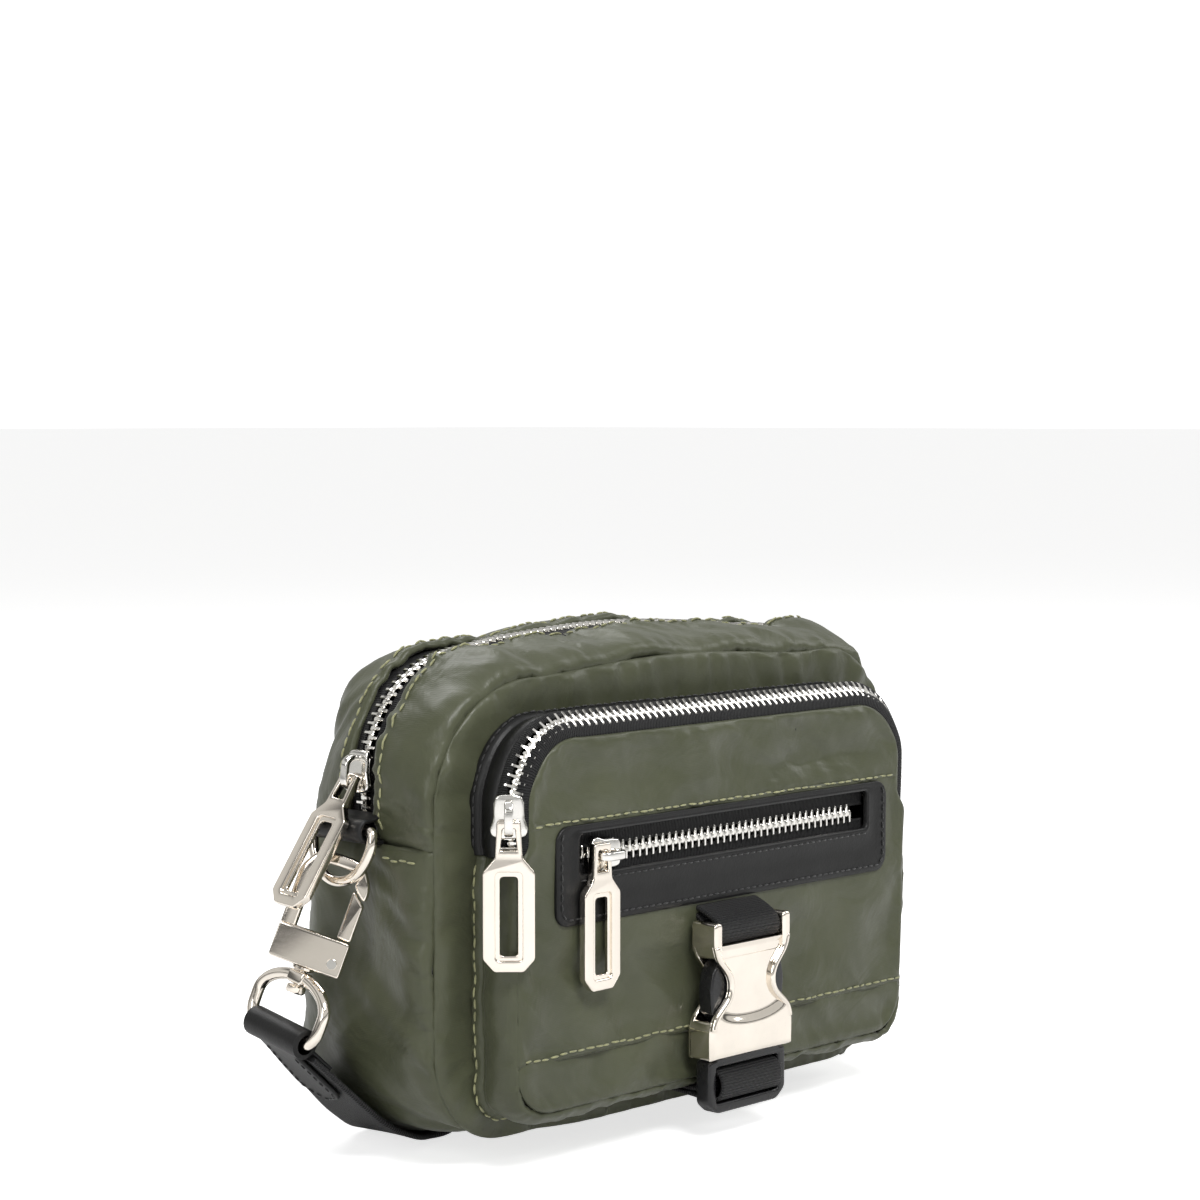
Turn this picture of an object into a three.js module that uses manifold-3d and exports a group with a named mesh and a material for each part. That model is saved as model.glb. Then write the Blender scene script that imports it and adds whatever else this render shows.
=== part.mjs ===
// Small crossbody bag of nylon with a front zip pocket, a framed welt pocket, a side-release
// buckle and a clip-on webbing strap. Millimetres, +Z up, the front faces -Y, +X is on the
// right when the bag is seen from the front. The origin is the middle of the base, on the floor.
import * as THREE from "three";
import { mergeVertices } from "three/addons/utils/BufferGeometryUtils.js";
import Module from "manifold-3d";

const wasm = await Module();
wasm.setup();

const DEG = Math.PI / 180;
const GAP = 0.3;

// Main body
const BODY_HALF = 94;
const BODY_TOP = 136;
const BODY_DEPTH = 56;
const TOP_RADIUS = 36;
const BASE_RADIUS = 29;
const SKIN = 1.6;
const SIDE_SEAM_Z = 86;
const PANEL_HALF = 94.5;
const PANEL_BASE = 1;
const PANEL_TOP = 135;
const FRONT_Y = -BODY_DEPTH / 2;
const BACK_Y = BODY_DEPTH / 2;
const SLOT_HALF = 7;
const CHAIN_WIDTH = 6;
const CHAIN_THICK = 2.6;
const TAPE_THICK = 0.8;
const ZIP_END_Z = 94;

// Front pocket
const POCKET_HALF = 80.5;
const POCKET_BASE = 13;
const POCKET_TOP = 121;
const POCKET_TOP_RADIUS = 24;
const POCKET_BASE_RADIUS = 12;
const POCKET_FRONT_Y = -45;
const POCKET_PANEL_THICK = 1.5;
const POCKET_ZIP_END_Z = 84;
const TRIM_DEPTH = 7;
const PANEL_SEAM_HIGH = 91;
const PANEL_SEAM_LOW = 30;

// Welt pocket on the front pocket's panel
const WELT_HALF = 70.5;
const WELT_LOW = 64.5;
const WELT_HIGH = 90.5;
const WINDOW_HALF = 61.5;
const WINDOW_LOW = 76.5;
const WINDOW_HIGH = 88.5;
const WELT_THICK = 1.2;

// Hardware
const PULL_LENGTH = 38;
const PULL_WIDTH = 14;
const PULL_THICK = 2.4;
const WEBBING_WIDTH = 25;
const WEBBING_THICK = 1.4;
const RING_WIRE = 2.6;

const nylon = [0x4a4c3c, 0.62, 0];
const liningCloth = [0x2a2a28, 0.8, 0];
const leather = [0x1b1b1c, 0.55, 0];
const webbing = [0x1d1d1e, 0.7, 0];
const tapeCloth = [0x151516, 0.85, 0];
const silver = [0xd4d0c8, 0.25, 1];
const champagne = [0xd8cbb8, 0.16, 1];
const plastic = [0x0c0c0d, 0.3, 0];

const bag = new THREE.Group();

function piece(name, geometry, look, parent = bag) {
  const [color, roughness, metalness] = look;
  const material = new THREE.MeshStandardMaterial({ color, roughness, metalness });
  const mesh = new THREE.Mesh(geometry, material);
  mesh.name = name;
  parent.add(mesh);
  return mesh;
}

// ---- solids and outlines ----

function toSolid(geometry) {
  const plain = geometry.clone();
  plain.deleteAttribute("normal");
  plain.deleteAttribute("uv");
  const merged = mergeVertices(plain, 1e-4);
  const mesh = new wasm.Mesh({
    numProp: 3,
    vertProperties: new Float32Array(merged.attributes.position.array),
    triVerts: new Uint32Array(merged.index.array),
  });
  return new wasm.Manifold(mesh);
}

function fromSolid(solid) {
  const mesh = solid.getMesh();
  const geometry = new THREE.BufferGeometry();
  geometry.setAttribute("position", new THREE.BufferAttribute(new Float32Array(mesh.vertProperties), 3));
  geometry.setIndex(new THREE.BufferAttribute(new Uint32Array(mesh.triVerts), 1));
  geometry.computeVertexNormals();
  return geometry;
}

function joined(...geometries) {
  return fromSolid(geometries.map(toSolid).reduce((a, b) => a.add(b)));
}

function cutFrom(geometry, ...tools) {
  return fromSolid(tools.map(toSolid).reduce((a, b) => a.subtract(b), toSolid(geometry)));
}

function box(x0, x1, y0, y1, z0, z1) {
  const geometry = new THREE.BoxGeometry(x1 - x0, y1 - y0, z1 - z0);
  return geometry.translate((x0 + x1) / 2, (y0 + y1) / 2, (z0 + z1) / 2);
}

function arc(cx, cz, radius, from, to, steps) {
  const points = [];
  for (let i = 0; i <= steps; i += 1) {
    const angle = (from + ((to - from) * i) / steps) * DEG;
    points.push(new THREE.Vector2(cx + radius * Math.cos(angle), cz + radius * Math.sin(angle)));
  }
  return points;
}

function roundedOutline(half, low, high, lowRadius, highRadius, steps = 6) {
  return [
    ...arc(-half + lowRadius, low + lowRadius, lowRadius, 180, 270, steps),
    ...arc(half - lowRadius, low + lowRadius, lowRadius, 270, 360, steps),
    ...arc(half - highRadius, high - highRadius, highRadius, 0, 90, steps),
    ...arc(-half + highRadius, high - highRadius, highRadius, 90, 180, steps),
  ];
}

function archOutline(half, end, top, radius, steps = 8) {
  return [
    new THREE.Vector2(half, end),
    ...arc(half - radius, top - radius, radius, 0, 90, steps),
    ...arc(-half + radius, top - radius, radius, 90, 180, steps),
    new THREE.Vector2(-half, end),
  ];
}

function cradleOutline(half, end, low, radius, steps = 7) {
  return [
    new THREE.Vector2(-half, end),
    ...arc(-half + radius, low + radius, radius, 180, 270, steps),
    ...arc(half - radius, low + radius, radius, 270, 360, steps),
    new THREE.Vector2(half, end),
  ];
}

function holedShape(outline, holes) {
  const clockwise = THREE.ShapeUtils.isClockWise(outline);
  const shape = new THREE.Shape(clockwise ? [...outline].reverse() : outline);
  shape.holes = holes.map((points) => new THREE.Path(points));
  return shape;
}

// A shape drawn in X and Z, given thickness along Y from frontY back to backY.
function plate(outline, frontY, backY, holes = []) {
  const shape = holedShape(outline, holes);
  const geometry = new THREE.ExtrudeGeometry(shape, { depth: backY - frontY, bevelEnabled: false });
  return geometry.rotateX(Math.PI / 2).translate(0, backY, 0);
}

// A curved strip of the body's surface: the outer outline and its copy one thickness inside.
function archBand(half, end, top, radius, thick, frontY, backY, steps) {
  const outer = archOutline(half, end, top, radius, steps);
  const inner = archOutline(half - thick, end, top - thick, radius - thick, steps).reverse();
  return plate([...outer, ...inner], frontY, backY);
}

function cradleBand(half, end, low, radius, thick, frontY, backY, steps) {
  const outer = cradleOutline(half, end, low, radius, steps);
  const inner = cradleOutline(half - thick, end, low + thick, radius - thick, steps).reverse();
  return plate([...outer, ...inner], frontY, backY);
}

// A flat strip along a route: each stop has a point and the direction of the strip's width, and
// its frame adds the direction of its face.
function framesAlong(stops) {
  const last = stops.length - 1;
  return stops.map((stop, i) => {
    const along = stops[Math.min(i + 1, last)].point.clone().sub(stops[Math.max(i - 1, 0)].point);
    along.normalize();
    const side = stop.side.clone().addScaledVector(along, -stop.side.dot(along)).normalize();
    return { point: stop.point, side, face: along.clone().cross(side), along };
  });
}

function ribbon(frames, width, thick, rise = 0) {
  const last = frames.length - 1;
  const geometry = new THREE.BoxGeometry(width, thick, 1, 1, 1, last);
  const position = geometry.attributes.position;
  for (let i = 0; i < position.count; i += 1) {
    const frame = frames[Math.round((position.getZ(i) + 0.5) * last)];
    const spot = frame.point.clone();
    spot.addScaledVector(frame.side, position.getX(i));
    spot.addScaledVector(frame.face, position.getY(i) + rise);
    position.setXYZ(i, spot.x, spot.y, spot.z);
  }
  return geometry;
}

// ---- main body ----

const panelOutline = roundedOutline(PANEL_HALF, PANEL_BASE, PANEL_TOP, 28, 35);
piece("front_panel", plate(panelOutline, FRONT_Y, FRONT_Y + SKIN), nylon);
piece("back_panel", plate(panelOutline, BACK_Y - SKIN, BACK_Y), nylon);

const bandFront = FRONT_Y + SKIN + GAP;
const bandBack = BACK_Y - SKIN - GAP;
const cradleEnd = SIDE_SEAM_Z - GAP;
piece("gusset_base", cradleBand(BODY_HALF, cradleEnd, 0, BASE_RADIUS, SKIN, bandFront, bandBack), nylon);
const archTop = [BODY_HALF, SIDE_SEAM_Z, BODY_TOP, TOP_RADIUS, SKIN];
piece("gusset_top_front", archBand(...archTop, bandFront, -SLOT_HALF), nylon);
piece("gusset_top_rear", archBand(...archTop, SLOT_HALF, bandBack), nylon);

function zipArch(inset, thick, end, frontY, backY) {
  const half = BODY_HALF - inset;
  return archBand(half, end, BODY_TOP - inset, TOP_RADIUS - inset, thick, frontY, backY);
}
const tapeInset = SKIN + GAP;
const tapeInner = CHAIN_WIDTH / 2 + GAP;
const tapeOuter = 15;
piece("main_zip_tape_front", zipArch(tapeInset, TAPE_THICK, SIDE_SEAM_Z + 2, -tapeOuter, -tapeInner), tapeCloth);
piece("main_zip_tape_rear", zipArch(tapeInset, TAPE_THICK, SIDE_SEAM_Z + 2, tapeInner, tapeOuter), tapeCloth);
const chainHalf = CHAIN_WIDTH / 2;
piece("main_zip_chain", zipArch(0.6, CHAIN_THICK, ZIP_END_Z + 2.5, -chainHalf, chainHalf), silver);
for (const [side, word] of [[-1, "left"], [1, "right"]]) {
  const edge = side * (BODY_HALF - 0.6);
  const inner = side * (BODY_HALF - 0.6 - CHAIN_THICK);
  const stop = box(Math.min(edge, inner), Math.max(edge, inner), -chainHalf, chainHalf, ZIP_END_Z - 0.5, ZIP_END_Z + 2.2);
  piece(`main_zip_stop_${word}`, stop, silver);
}

// Lining: an inner shell a little inside the outer one, and a slip pocket on its back.
const LINING_INSET = 4;
const LINING_THICK = 0.8;
const liningHalf = BODY_HALF - LINING_INSET;
const liningOutline = roundedOutline(liningHalf, LINING_INSET + 2, 124, 26, 34, 5);
piece("lining_front", plate(liningOutline, FRONT_Y + 3, FRONT_Y + 3 + LINING_THICK), liningCloth);
piece("lining_back", plate(liningOutline, BACK_Y - 3 - LINING_THICK, BACK_Y - 3), liningCloth);
const liningBand = [liningHalf, 84, LINING_INSET, BASE_RADIUS - LINING_INSET, LINING_THICK];
piece("lining_base", cradleBand(...liningBand, FRONT_Y + 4.2, BACK_Y - 4.2, 5), liningCloth);
const slipOutline = roundedOutline(62, 14, 86, 8, 3, 3);
piece("lining_slip_pocket", plate(slipOutline, BACK_Y - 5.6, BACK_Y - 4.2), liningCloth);

// ---- front pocket ----

const pocketRear = FRONT_Y - GAP;
const pocketPanelRear = POCKET_FRONT_Y + POCKET_PANEL_THICK;
const pocketCradle = [POCKET_HALF, POCKET_ZIP_END_Z - GAP, POCKET_BASE, POCKET_BASE_RADIUS, 1.4];
piece("pocket_gusset", cradleBand(...pocketCradle, pocketPanelRear + GAP, pocketRear, 4), nylon);
const pocketArch = [POCKET_HALF, POCKET_ZIP_END_Z, POCKET_TOP, POCKET_TOP_RADIUS];
piece("pocket_trim", archBand(...pocketArch, 1.4, pocketRear - TRIM_DEPTH, pocketRear, 6), leather);

const POCKET_CHAIN_FRONT = -44.2;
const POCKET_CHAIN_REAR = -40.2;
const rearTapeFront = POCKET_CHAIN_REAR + GAP;
const rearTapeRear = pocketRear - TRIM_DEPTH - GAP;
const rearTape = [POCKET_HALF - 0.5, POCKET_ZIP_END_Z, POCKET_TOP - 0.5, POCKET_TOP_RADIUS - 0.5, TAPE_THICK];
piece("pocket_zip_tape_rear", archBand(...rearTape, rearTapeFront, rearTapeRear, 6), tapeCloth);
const chain = [POCKET_HALF - 0.5, 88, POCKET_TOP - 0.5, POCKET_TOP_RADIUS - 0.5, 2.4];
piece("pocket_zip_chain", archBand(...chain, POCKET_CHAIN_FRONT, POCKET_CHAIN_REAR, 6), silver);
const FRONT_TAPE_OUTER = POCKET_HALF - 3.2;
const frontTape = [FRONT_TAPE_OUTER, POCKET_ZIP_END_Z, POCKET_TOP - 3.2, POCKET_TOP_RADIUS - 3.2, 6];
piece("pocket_zip_tape_front", archBand(...frontTape, -44.6, -43.8, 6), tapeCloth);
for (const [side, word] of [[-1, "left"], [1, "right"]]) {
  const edge = side * (POCKET_HALF - 0.5);
  const inner = side * (POCKET_HALF - 2.9);
  const stop = box(Math.min(edge, inner), Math.max(edge, inner), POCKET_CHAIN_FRONT, POCKET_CHAIN_REAR, 85.2, 87.7);
  piece(`pocket_zip_stop_${word}`, stop, silver);
}

// The panel is sewn from three strips; the middle one has the welt pocket's window.
const stripHalf = FRONT_TAPE_OUTER - 6 - GAP;
const stripTop = POCKET_TOP - 9.2 - GAP;
const stripRadius = POCKET_TOP_RADIUS - 9.2 - GAP;
const upperStrip = [
  new THREE.Vector2(stripHalf, PANEL_SEAM_HIGH + GAP / 2),
  ...arc(stripHalf - stripRadius, stripTop - stripRadius, stripRadius, 0, 90, 5),
  ...arc(-stripHalf + stripRadius, stripTop - stripRadius, stripRadius, 90, 180, 5),
  new THREE.Vector2(-stripHalf, PANEL_SEAM_HIGH + GAP / 2),
];
piece("pocket_panel_upper", plate(upperStrip, POCKET_FRONT_Y, pocketPanelRear), nylon);
const shoulder = POCKET_ZIP_END_Z - GAP;
const middleStrip = [
  new THREE.Vector2(-POCKET_HALF, PANEL_SEAM_LOW + GAP / 2),
  new THREE.Vector2(POCKET_HALF, PANEL_SEAM_LOW + GAP / 2),
  new THREE.Vector2(POCKET_HALF, shoulder),
  new THREE.Vector2(stripHalf, shoulder),
  new THREE.Vector2(stripHalf, PANEL_SEAM_HIGH - GAP / 2),
  new THREE.Vector2(-stripHalf, PANEL_SEAM_HIGH - GAP / 2),
  new THREE.Vector2(-stripHalf, shoulder),
  new THREE.Vector2(-POCKET_HALF, shoulder),
];
const weltWindow = [
  new THREE.Vector2(-WINDOW_HALF, WINDOW_LOW),
  new THREE.Vector2(WINDOW_HALF, WINDOW_LOW),
  new THREE.Vector2(WINDOW_HALF, WINDOW_HIGH),
  new THREE.Vector2(-WINDOW_HALF, WINDOW_HIGH),
];
piece("pocket_panel_middle", plate(middleStrip, POCKET_FRONT_Y, pocketPanelRear, [weltWindow]), nylon);
const lowerStrip = [
  ...arc(-POCKET_HALF + 10, 16 + 10, 10, 180, 270, 4),
  ...arc(POCKET_HALF - 10, 16 + 10, 10, 270, 360, 4),
  new THREE.Vector2(POCKET_HALF, PANEL_SEAM_LOW - GAP / 2),
  new THREE.Vector2(-POCKET_HALF, PANEL_SEAM_LOW - GAP / 2),
];
piece("pocket_panel_lower", plate(lowerStrip, POCKET_FRONT_Y, pocketPanelRear), nylon);

// ---- welt pocket ----

const weltFront = POCKET_FRONT_Y - GAP - WELT_THICK;
const weltOutline = roundedOutline(WELT_HALF, WELT_LOW, WELT_HIGH, 5, 4, 3);
piece("welt_panel", plate(weltOutline, weltFront, POCKET_FRONT_Y - GAP, [weltWindow]), leather);
const CHAIN_Z = (WINDOW_LOW + WINDOW_HIGH) / 2;
const weltTapeHalf = WINDOW_HALF - 0.5;
piece("welt_zip_tape_upper", box(-weltTapeHalf, weltTapeHalf, -44.3, -43.5, CHAIN_Z + 2.9, WINDOW_HIGH - 0.4), tapeCloth);
piece("welt_zip_tape_lower", box(-weltTapeHalf, weltTapeHalf, -44.3, -43.5, WINDOW_LOW + 0.4, CHAIN_Z - 2.9), tapeCloth);
const WELT_CHAIN_HALF = 56;
piece("welt_zip_chain", box(-WELT_CHAIN_HALF, WELT_CHAIN_HALF, -45, -43, CHAIN_Z - 2.6, CHAIN_Z + 2.6), silver);
const pouchOutline = roundedOutline(60, 36, 88, 4, 2, 2);
piece("welt_pouch", plate(pouchOutline, -42, -41), liningCloth);

// ---- sliders and their pulls ----

// Built flat: +X is across the zip, +Z runs up it, -Y faces out, and the chain's face is at
// y = -1.2. The body is a channel over the chain; the bail is an arch that the pull hangs in.
const SLIDER_LENGTH = 11;
const CROWN_BACK = 1.5;
const CROWN_FRONT = 3.3;
const BAIL_INNER = 6.4;
const BAIL_OUTER = 8;
const PULL_STAND = (CROWN_FRONT + BAIL_INNER) / 2;
const CHAIN_FACE = 1.2;

function sliderGeometry() {
  const end = SLIDER_LENGTH / 2;
  const crown = box(-4.9, 4.9, -CROWN_FRONT, -CROWN_BACK, -end, end);
  const lipLeft = box(-4.9, -3.6, -2, -0.9, -end, end);
  const lipRight = box(3.6, 4.9, -2, -0.9, -end, end);
  const bailProfile = [
    [-4.8, 3], [-4.8, 6.2], [-3.4, BAIL_OUTER], [2.4, BAIL_OUTER], [4.2, 6.2], [4.2, 3],
    [2.7, 3], [2.7, 5.4], [1.8, BAIL_INNER], [-2.8, BAIL_INNER], [-3.4, 5.6], [-3.4, 3],
  ].map(([along, out]) => new THREE.Vector2(along, out));
  const bail = new THREE.ExtrudeGeometry(new THREE.Shape(bailProfile), { depth: 2.2, bevelEnabled: false });
  bail.translate(0, 0, -1.1);
  bail.applyMatrix4(new THREE.Matrix4().makeBasis(
    new THREE.Vector3(0, 0, 1), new THREE.Vector3(0, -1, 0), new THREE.Vector3(1, 0, 0),
  ));
  return joined(crown, lipLeft, lipRight, bail);
}

// The pull hangs from the origin: an octagonal frame with a long window under a neck with an eye.
const EYE_BAR = 0.9;
function pullGeometry() {
  const half = PULL_WIDTH / 2;
  const foot = -PULL_LENGTH;
  const mirror = (points) => [
    ...points.map(([x, z]) => new THREE.Vector2(x, z)),
    ...points.map(([x, z]) => new THREE.Vector2(-x, z)).reverse(),
  ];
  const outline = mirror([[3.4, EYE_BAR], [4.2, -8], [half, -12.2], [half, foot + 4], [3.4, foot]]);
  const eye = mirror([[1.6, -EYE_BAR], [2.2, -6.6]]);
  const slot = mirror([[2.3, -11.5], [3.3, -12.6], [3.3, foot + 4.4], [2.3, foot + 3.4]]);
  return plate(outline, -PULL_THICK / 2, PULL_THICK / 2, [eye, slot]);
}

function group(parent, x, y, z) {
  const made = new THREE.Group();
  made.position.set(x, y, z);
  parent.add(made);
  return made;
}

// On the main zip the slider stands just past the start of the corner's arc.
const cornerX = -(BODY_HALF - TOP_RADIUS);
const cornerZ = BODY_TOP - TOP_RADIUS;
const MAIN_SLIDER_ANGLE = 7;
const mainCorner = group(bag, cornerX, 0, cornerZ);
mainCorner.rotation.y = MAIN_SLIDER_ANGLE * DEG;
const mainSlider = group(mainCorner, -(TOP_RADIUS - 0.6 - CHAIN_FACE), 0, 0);
mainSlider.rotation.z = -90 * DEG;
piece("main_slider", sliderGeometry(), silver, mainSlider);
const PULL_DROP = 1.7;
const mainHang = group(mainSlider, 0, -PULL_STAND, -PULL_DROP);
mainHang.rotation.set(-26 * DEG, 4 * DEG, 0, "YXZ");
piece("main_pull", pullGeometry(), champagne, mainHang);

// The pocket's slider faces half left, half forward, as its zip does on the pocket's edge.
const POCKET_SLIDER = [-80.3, -42.2, 95.5];
const pocketSlider = group(bag, ...POCKET_SLIDER);
pocketSlider.rotation.z = -45 * DEG;
piece("pocket_slider", sliderGeometry(), silver, pocketSlider);
piece("pocket_pull", pullGeometry(), champagne, group(pocketSlider, 0, -PULL_STAND, -PULL_DROP));

// The welt zip runs across, so its pull hangs by its eye from one leg of the bail.
const WELT_SLIDER_X = -49;
const BAIL_LEG = 4.1;
const weltSlider = group(bag, WELT_SLIDER_X, -45 + CHAIN_FACE, CHAIN_Z);
piece("welt_slider", sliderGeometry(), silver, weltSlider).rotation.y = 90 * DEG;
const WELT_PULL_RISE = 2.6;
piece("welt_pull", pullGeometry(), champagne, group(weltSlider, -BAIL_LEG, -PULL_STAND, WELT_PULL_RISE));

// ---- side loops, D-rings, clips and the strap's ends ----

function mirrored(geometry) {
  const copy = geometry.index ? geometry.toNonIndexed() : geometry.clone();
  copy.scale(-1, 1, 1);
  const position = copy.attributes.position;
  for (let i = 0; i < position.count; i += 3) {
    for (const read of ["X", "Y", "Z"]) {
      const kept = position[`get${read}`](i + 1);
      position[`set${read}`](i + 1, position[`get${read}`](i + 2));
      position[`set${read}`](i + 2, kept);
    }
  }
  copy.deleteAttribute("uv");
  copy.computeVertexNormals();
  return copy;
}

function pair(name, geometry, look) {
  piece(`${name}_left`, geometry, look);
  piece(`${name}_right`, mirrored(geometry), look);
}

function rodAlongY(radius, length, x, z, sides = 12) {
  return new THREE.CylinderGeometry(radius, radius, length, sides).translate(x, 0, z);
}

const RING_X = -99.6;
const RING_Z = 90;
const LOOP_HALF = 10;
const loopSleeve = cutFrom(rodAlongY(3.4, 2 * LOOP_HALF, RING_X, RING_Z, 16), rodAlongY(2.2, 30, RING_X, RING_Z));
const loopTail = box(-97, -BODY_HALF - GAP, -LOOP_HALF, LOOP_HALF, SIDE_SEAM_Z + GAP, 92.4);
pair("side_loop", joined(loopSleeve, loopTail), leather);

function ellipseHalf(halfWidth, drop, centre, steps) {
  const points = [];
  for (let i = 0; i <= steps; i += 1) {
    const angle = Math.PI + (Math.PI * i) / steps;
    points.push(new THREE.Vector2(halfWidth * Math.cos(angle), centre + drop * Math.sin(angle)));
  }
  return points;
}

const D_HALF = 12.9;
const D_DROP = 13.3;
const D_LEAN = 10;
const halfWire = RING_WIRE / 2;
const dOuter = [new THREE.Vector2(-D_HALF, halfWire), ...ellipseHalf(D_HALF, D_DROP, -2, 14),
  new THREE.Vector2(D_HALF, halfWire)];
const dInner = [new THREE.Vector2(-D_HALF + RING_WIRE, -halfWire),
  ...ellipseHalf(D_HALF - RING_WIRE, D_DROP - RING_WIRE, -2, 14),
  new THREE.Vector2(D_HALF - RING_WIRE, -halfWire)];
const dRing = plate(dOuter, -halfWire, halfWire, [dInner]);
dRing.rotateZ(90 * DEG).rotateY(D_LEAN * DEG).translate(RING_X, 0, RING_Z);
pair("d_ring", dRing, champagne);

// The swivel ring's frame: Z runs from the ring up the clip, X across it, -Y faces away from the bag.
const swivelCentre = new THREE.Vector3(-113.8, 5.4, 44.5);
const clipAxis = new THREE.Vector3(0.318, -0.16, 0.934).normalize();
const CLIP_YAW = 40;
const across = new THREE.Vector3(0, -1, 0);
across.addScaledVector(clipAxis, -across.dot(clipAxis)).normalize();
const inward = clipAxis.clone().cross(across);
const ringPlace = new THREE.Matrix4().makeBasis(across, inward, clipAxis).setPosition(swivelCentre);
const clipPlace = ringPlace.clone().multiply(new THREE.Matrix4().makeRotationZ(CLIP_YAW * DEG));

function outlineOf(points) {
  return points.map(([x, z]) => new THREE.Vector2(x, z));
}

const HUB_TOP = 9.25;
const swivelOuter = [...outlineOf([[-15.5, -5.6], [-12, -HUB_TOP], [12, -HUB_TOP], [15.5, -5.6]]),
  ...arc(0, 0, 1, 0, 180, 14).map((p) => new THREE.Vector2(15.5 * p.x, HUB_TOP * p.y))];
const swivelInner = [...outlineOf([[-12.5, -4.6], [-11.4, -6.05], [11.4, -6.05], [12.5, -4.6]]),
  ...arc(0, 0, 1, 0, 180, 14).map((p) => new THREE.Vector2(12.4 * p.x, 5.7 * p.y))];
const swivelRing = cutFrom(
  plate(swivelOuter, -1.6, 1.6, [swivelInner]),
  new THREE.CylinderGeometry(1.25, 1.25, 8, 10).rotateX(90 * DEG).translate(0, 0, 7),
);
pair("swivel_ring", swivelRing.applyMatrix4(ringPlace), champagne);

const PLATE_LOW = 10.45;
const PLATE_HIGH = 19.95;
const CLIP_HALF = 9.75;
const PIN_X = 7;
const PIN_Z = 13.6;
const HOOK_TOP = 41.3;
const HOOK_INNER = HOOK_TOP - 3.2;
const hookOutline = outlineOf([
  [-CLIP_HALF, PLATE_LOW + 1], [-5.6, PLATE_LOW + 1], [-5.6, 34.5], [-3.4, HOOK_INNER], [4.6, HOOK_INNER],
  [5.6, 36.8], [5.6, 34.2], [CLIP_HALF, 30.8], [CLIP_HALF, 35.2], [6.8, 39.8], [4.4, HOOK_TOP],
  [-4.4, HOOK_TOP], [-6.8, 39.8], [-CLIP_HALF, 35.2],
]);
const clipBody = cutFrom(
  joined(plate(hookOutline, -1.6, 1.6), box(-CLIP_HALF, CLIP_HALF, -2.1, 2.1, PLATE_LOW, PLATE_HIGH)),
  box(2.5, CLIP_HALF + 2, -1.3, 1.3, 11.2, PLATE_HIGH + 1),
  rodAlongY(1.4, 8, PIN_X, PIN_Z),
);
pair("clip_body", clipBody.applyMatrix4(clipPlace), champagne);

const gateOutline = outlineOf([[5.6, 20.9], [CLIP_HALF, 20.9], [CLIP_HALF, 30.4], [5.6, 33.8]]);
const gate = cutFrom(
  joined(plate(gateOutline, -1.5, 1.5), box(5.6, 9.3, -1, 1, 11.8, 22)),
  rodAlongY(1.4, 8, PIN_X, PIN_Z),
);
pair("clip_gate", gate.applyMatrix4(clipPlace), champagne);
pair("clip_pin", rodAlongY(1.05, 4.4, PIN_X, PIN_Z).applyMatrix4(clipPlace), silver);

const postProfile = [[0, 3.4], [2.5, 3.4], [2.5, 5.3], [0.95, 5.3], [0.95, 9.6], [2.8, 9.6], [2.8, 10.15], [0, 10.15]];
const post = new THREE.LatheGeometry(outlineOf(postProfile), 12).rotateX(90 * DEG);
pair("swivel_post", post.applyMatrix4(clipPlace), champagne);

// ---- strap ----

// Each stop: the point, then the direction of the webbing's width there. The strap leaves the
// left ring, lies down beside the base, turns on edge and is folded to and fro behind the bag.
const leftEnd = [
  [-112.6, 7.6, 32.6, -0.06, -0.98, -0.17], [-105.6, 10, 22.4, 0, -0.98, -0.15],
  [-99.2, 12.6, 13.3, 0.1, -0.97, -0.1], [-94.5, 16.5, 6.5, 0.3, -0.95, 0],
  [-91.5, 23, 2.6, 0.9, -0.4, 0], [-89.5, 32, 1.6, 1, 0, 0.05], [-88.5, 42, 9.2, 0.72, 0, 0.66],
  [-86, 51, 12.6, 0.3, 0, 0.95], [-80, 58.5, 13.2, 0, 0, 1], [-70, 62, 13.2, 0, 0, 1],
  [-58, 61.4, 13.2, 0, 0, 1], [-46, 58.6, 13.2, 0, 0, 1], [-36, 58, 13.2, 0, 0, 1],
];
const rightEnd = [
  [101, 124, 13.2, 0, 0, 1], [108, 120.5, 13.2, 0, 0, 1], [112, 113, 13.2, 0, 0, 1],
  [112.5, 98, 13.2, 0, 0, 1], [110, 81, 13.2, 0, 0, 1], [104, 66, 13.2, 0, 0, 1],
  [97, 54, 12.6, -0.3, 0, 0.95], [91.5, 43, 9.2, -0.72, 0, 0.66],
  ...leftEnd.slice(0, 6).reverse().map(([x, y, z, sx, sy, sz]) => [-x, y, z, -sx, sy, sz]),
];
const ROW_LEFT = [-36, -34, -34, -14, -14, 8, 8];
const ROW_RIGHT = [84, 84, 96, 96, 96, 96, 97];
const ROW_PITCH = 11;
const ROW_FIRST_Y = 58;
const EDGE_Z = 13.2;

function smoothStops(list, perStop) {
  const points = new THREE.CatmullRomCurve3(list.map(([x, y, z]) => new THREE.Vector3(x, y, z)));
  const sides = new THREE.CatmullRomCurve3(list.map((stop) => new THREE.Vector3(stop[3], stop[4], stop[5])));
  const count = (list.length - 1) * perStop;
  return Array.from({ length: count + 1 }, (_, i) => ({
    point: points.getPoint(i / count),
    side: sides.getPoint(i / count),
  }));
}

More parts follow.
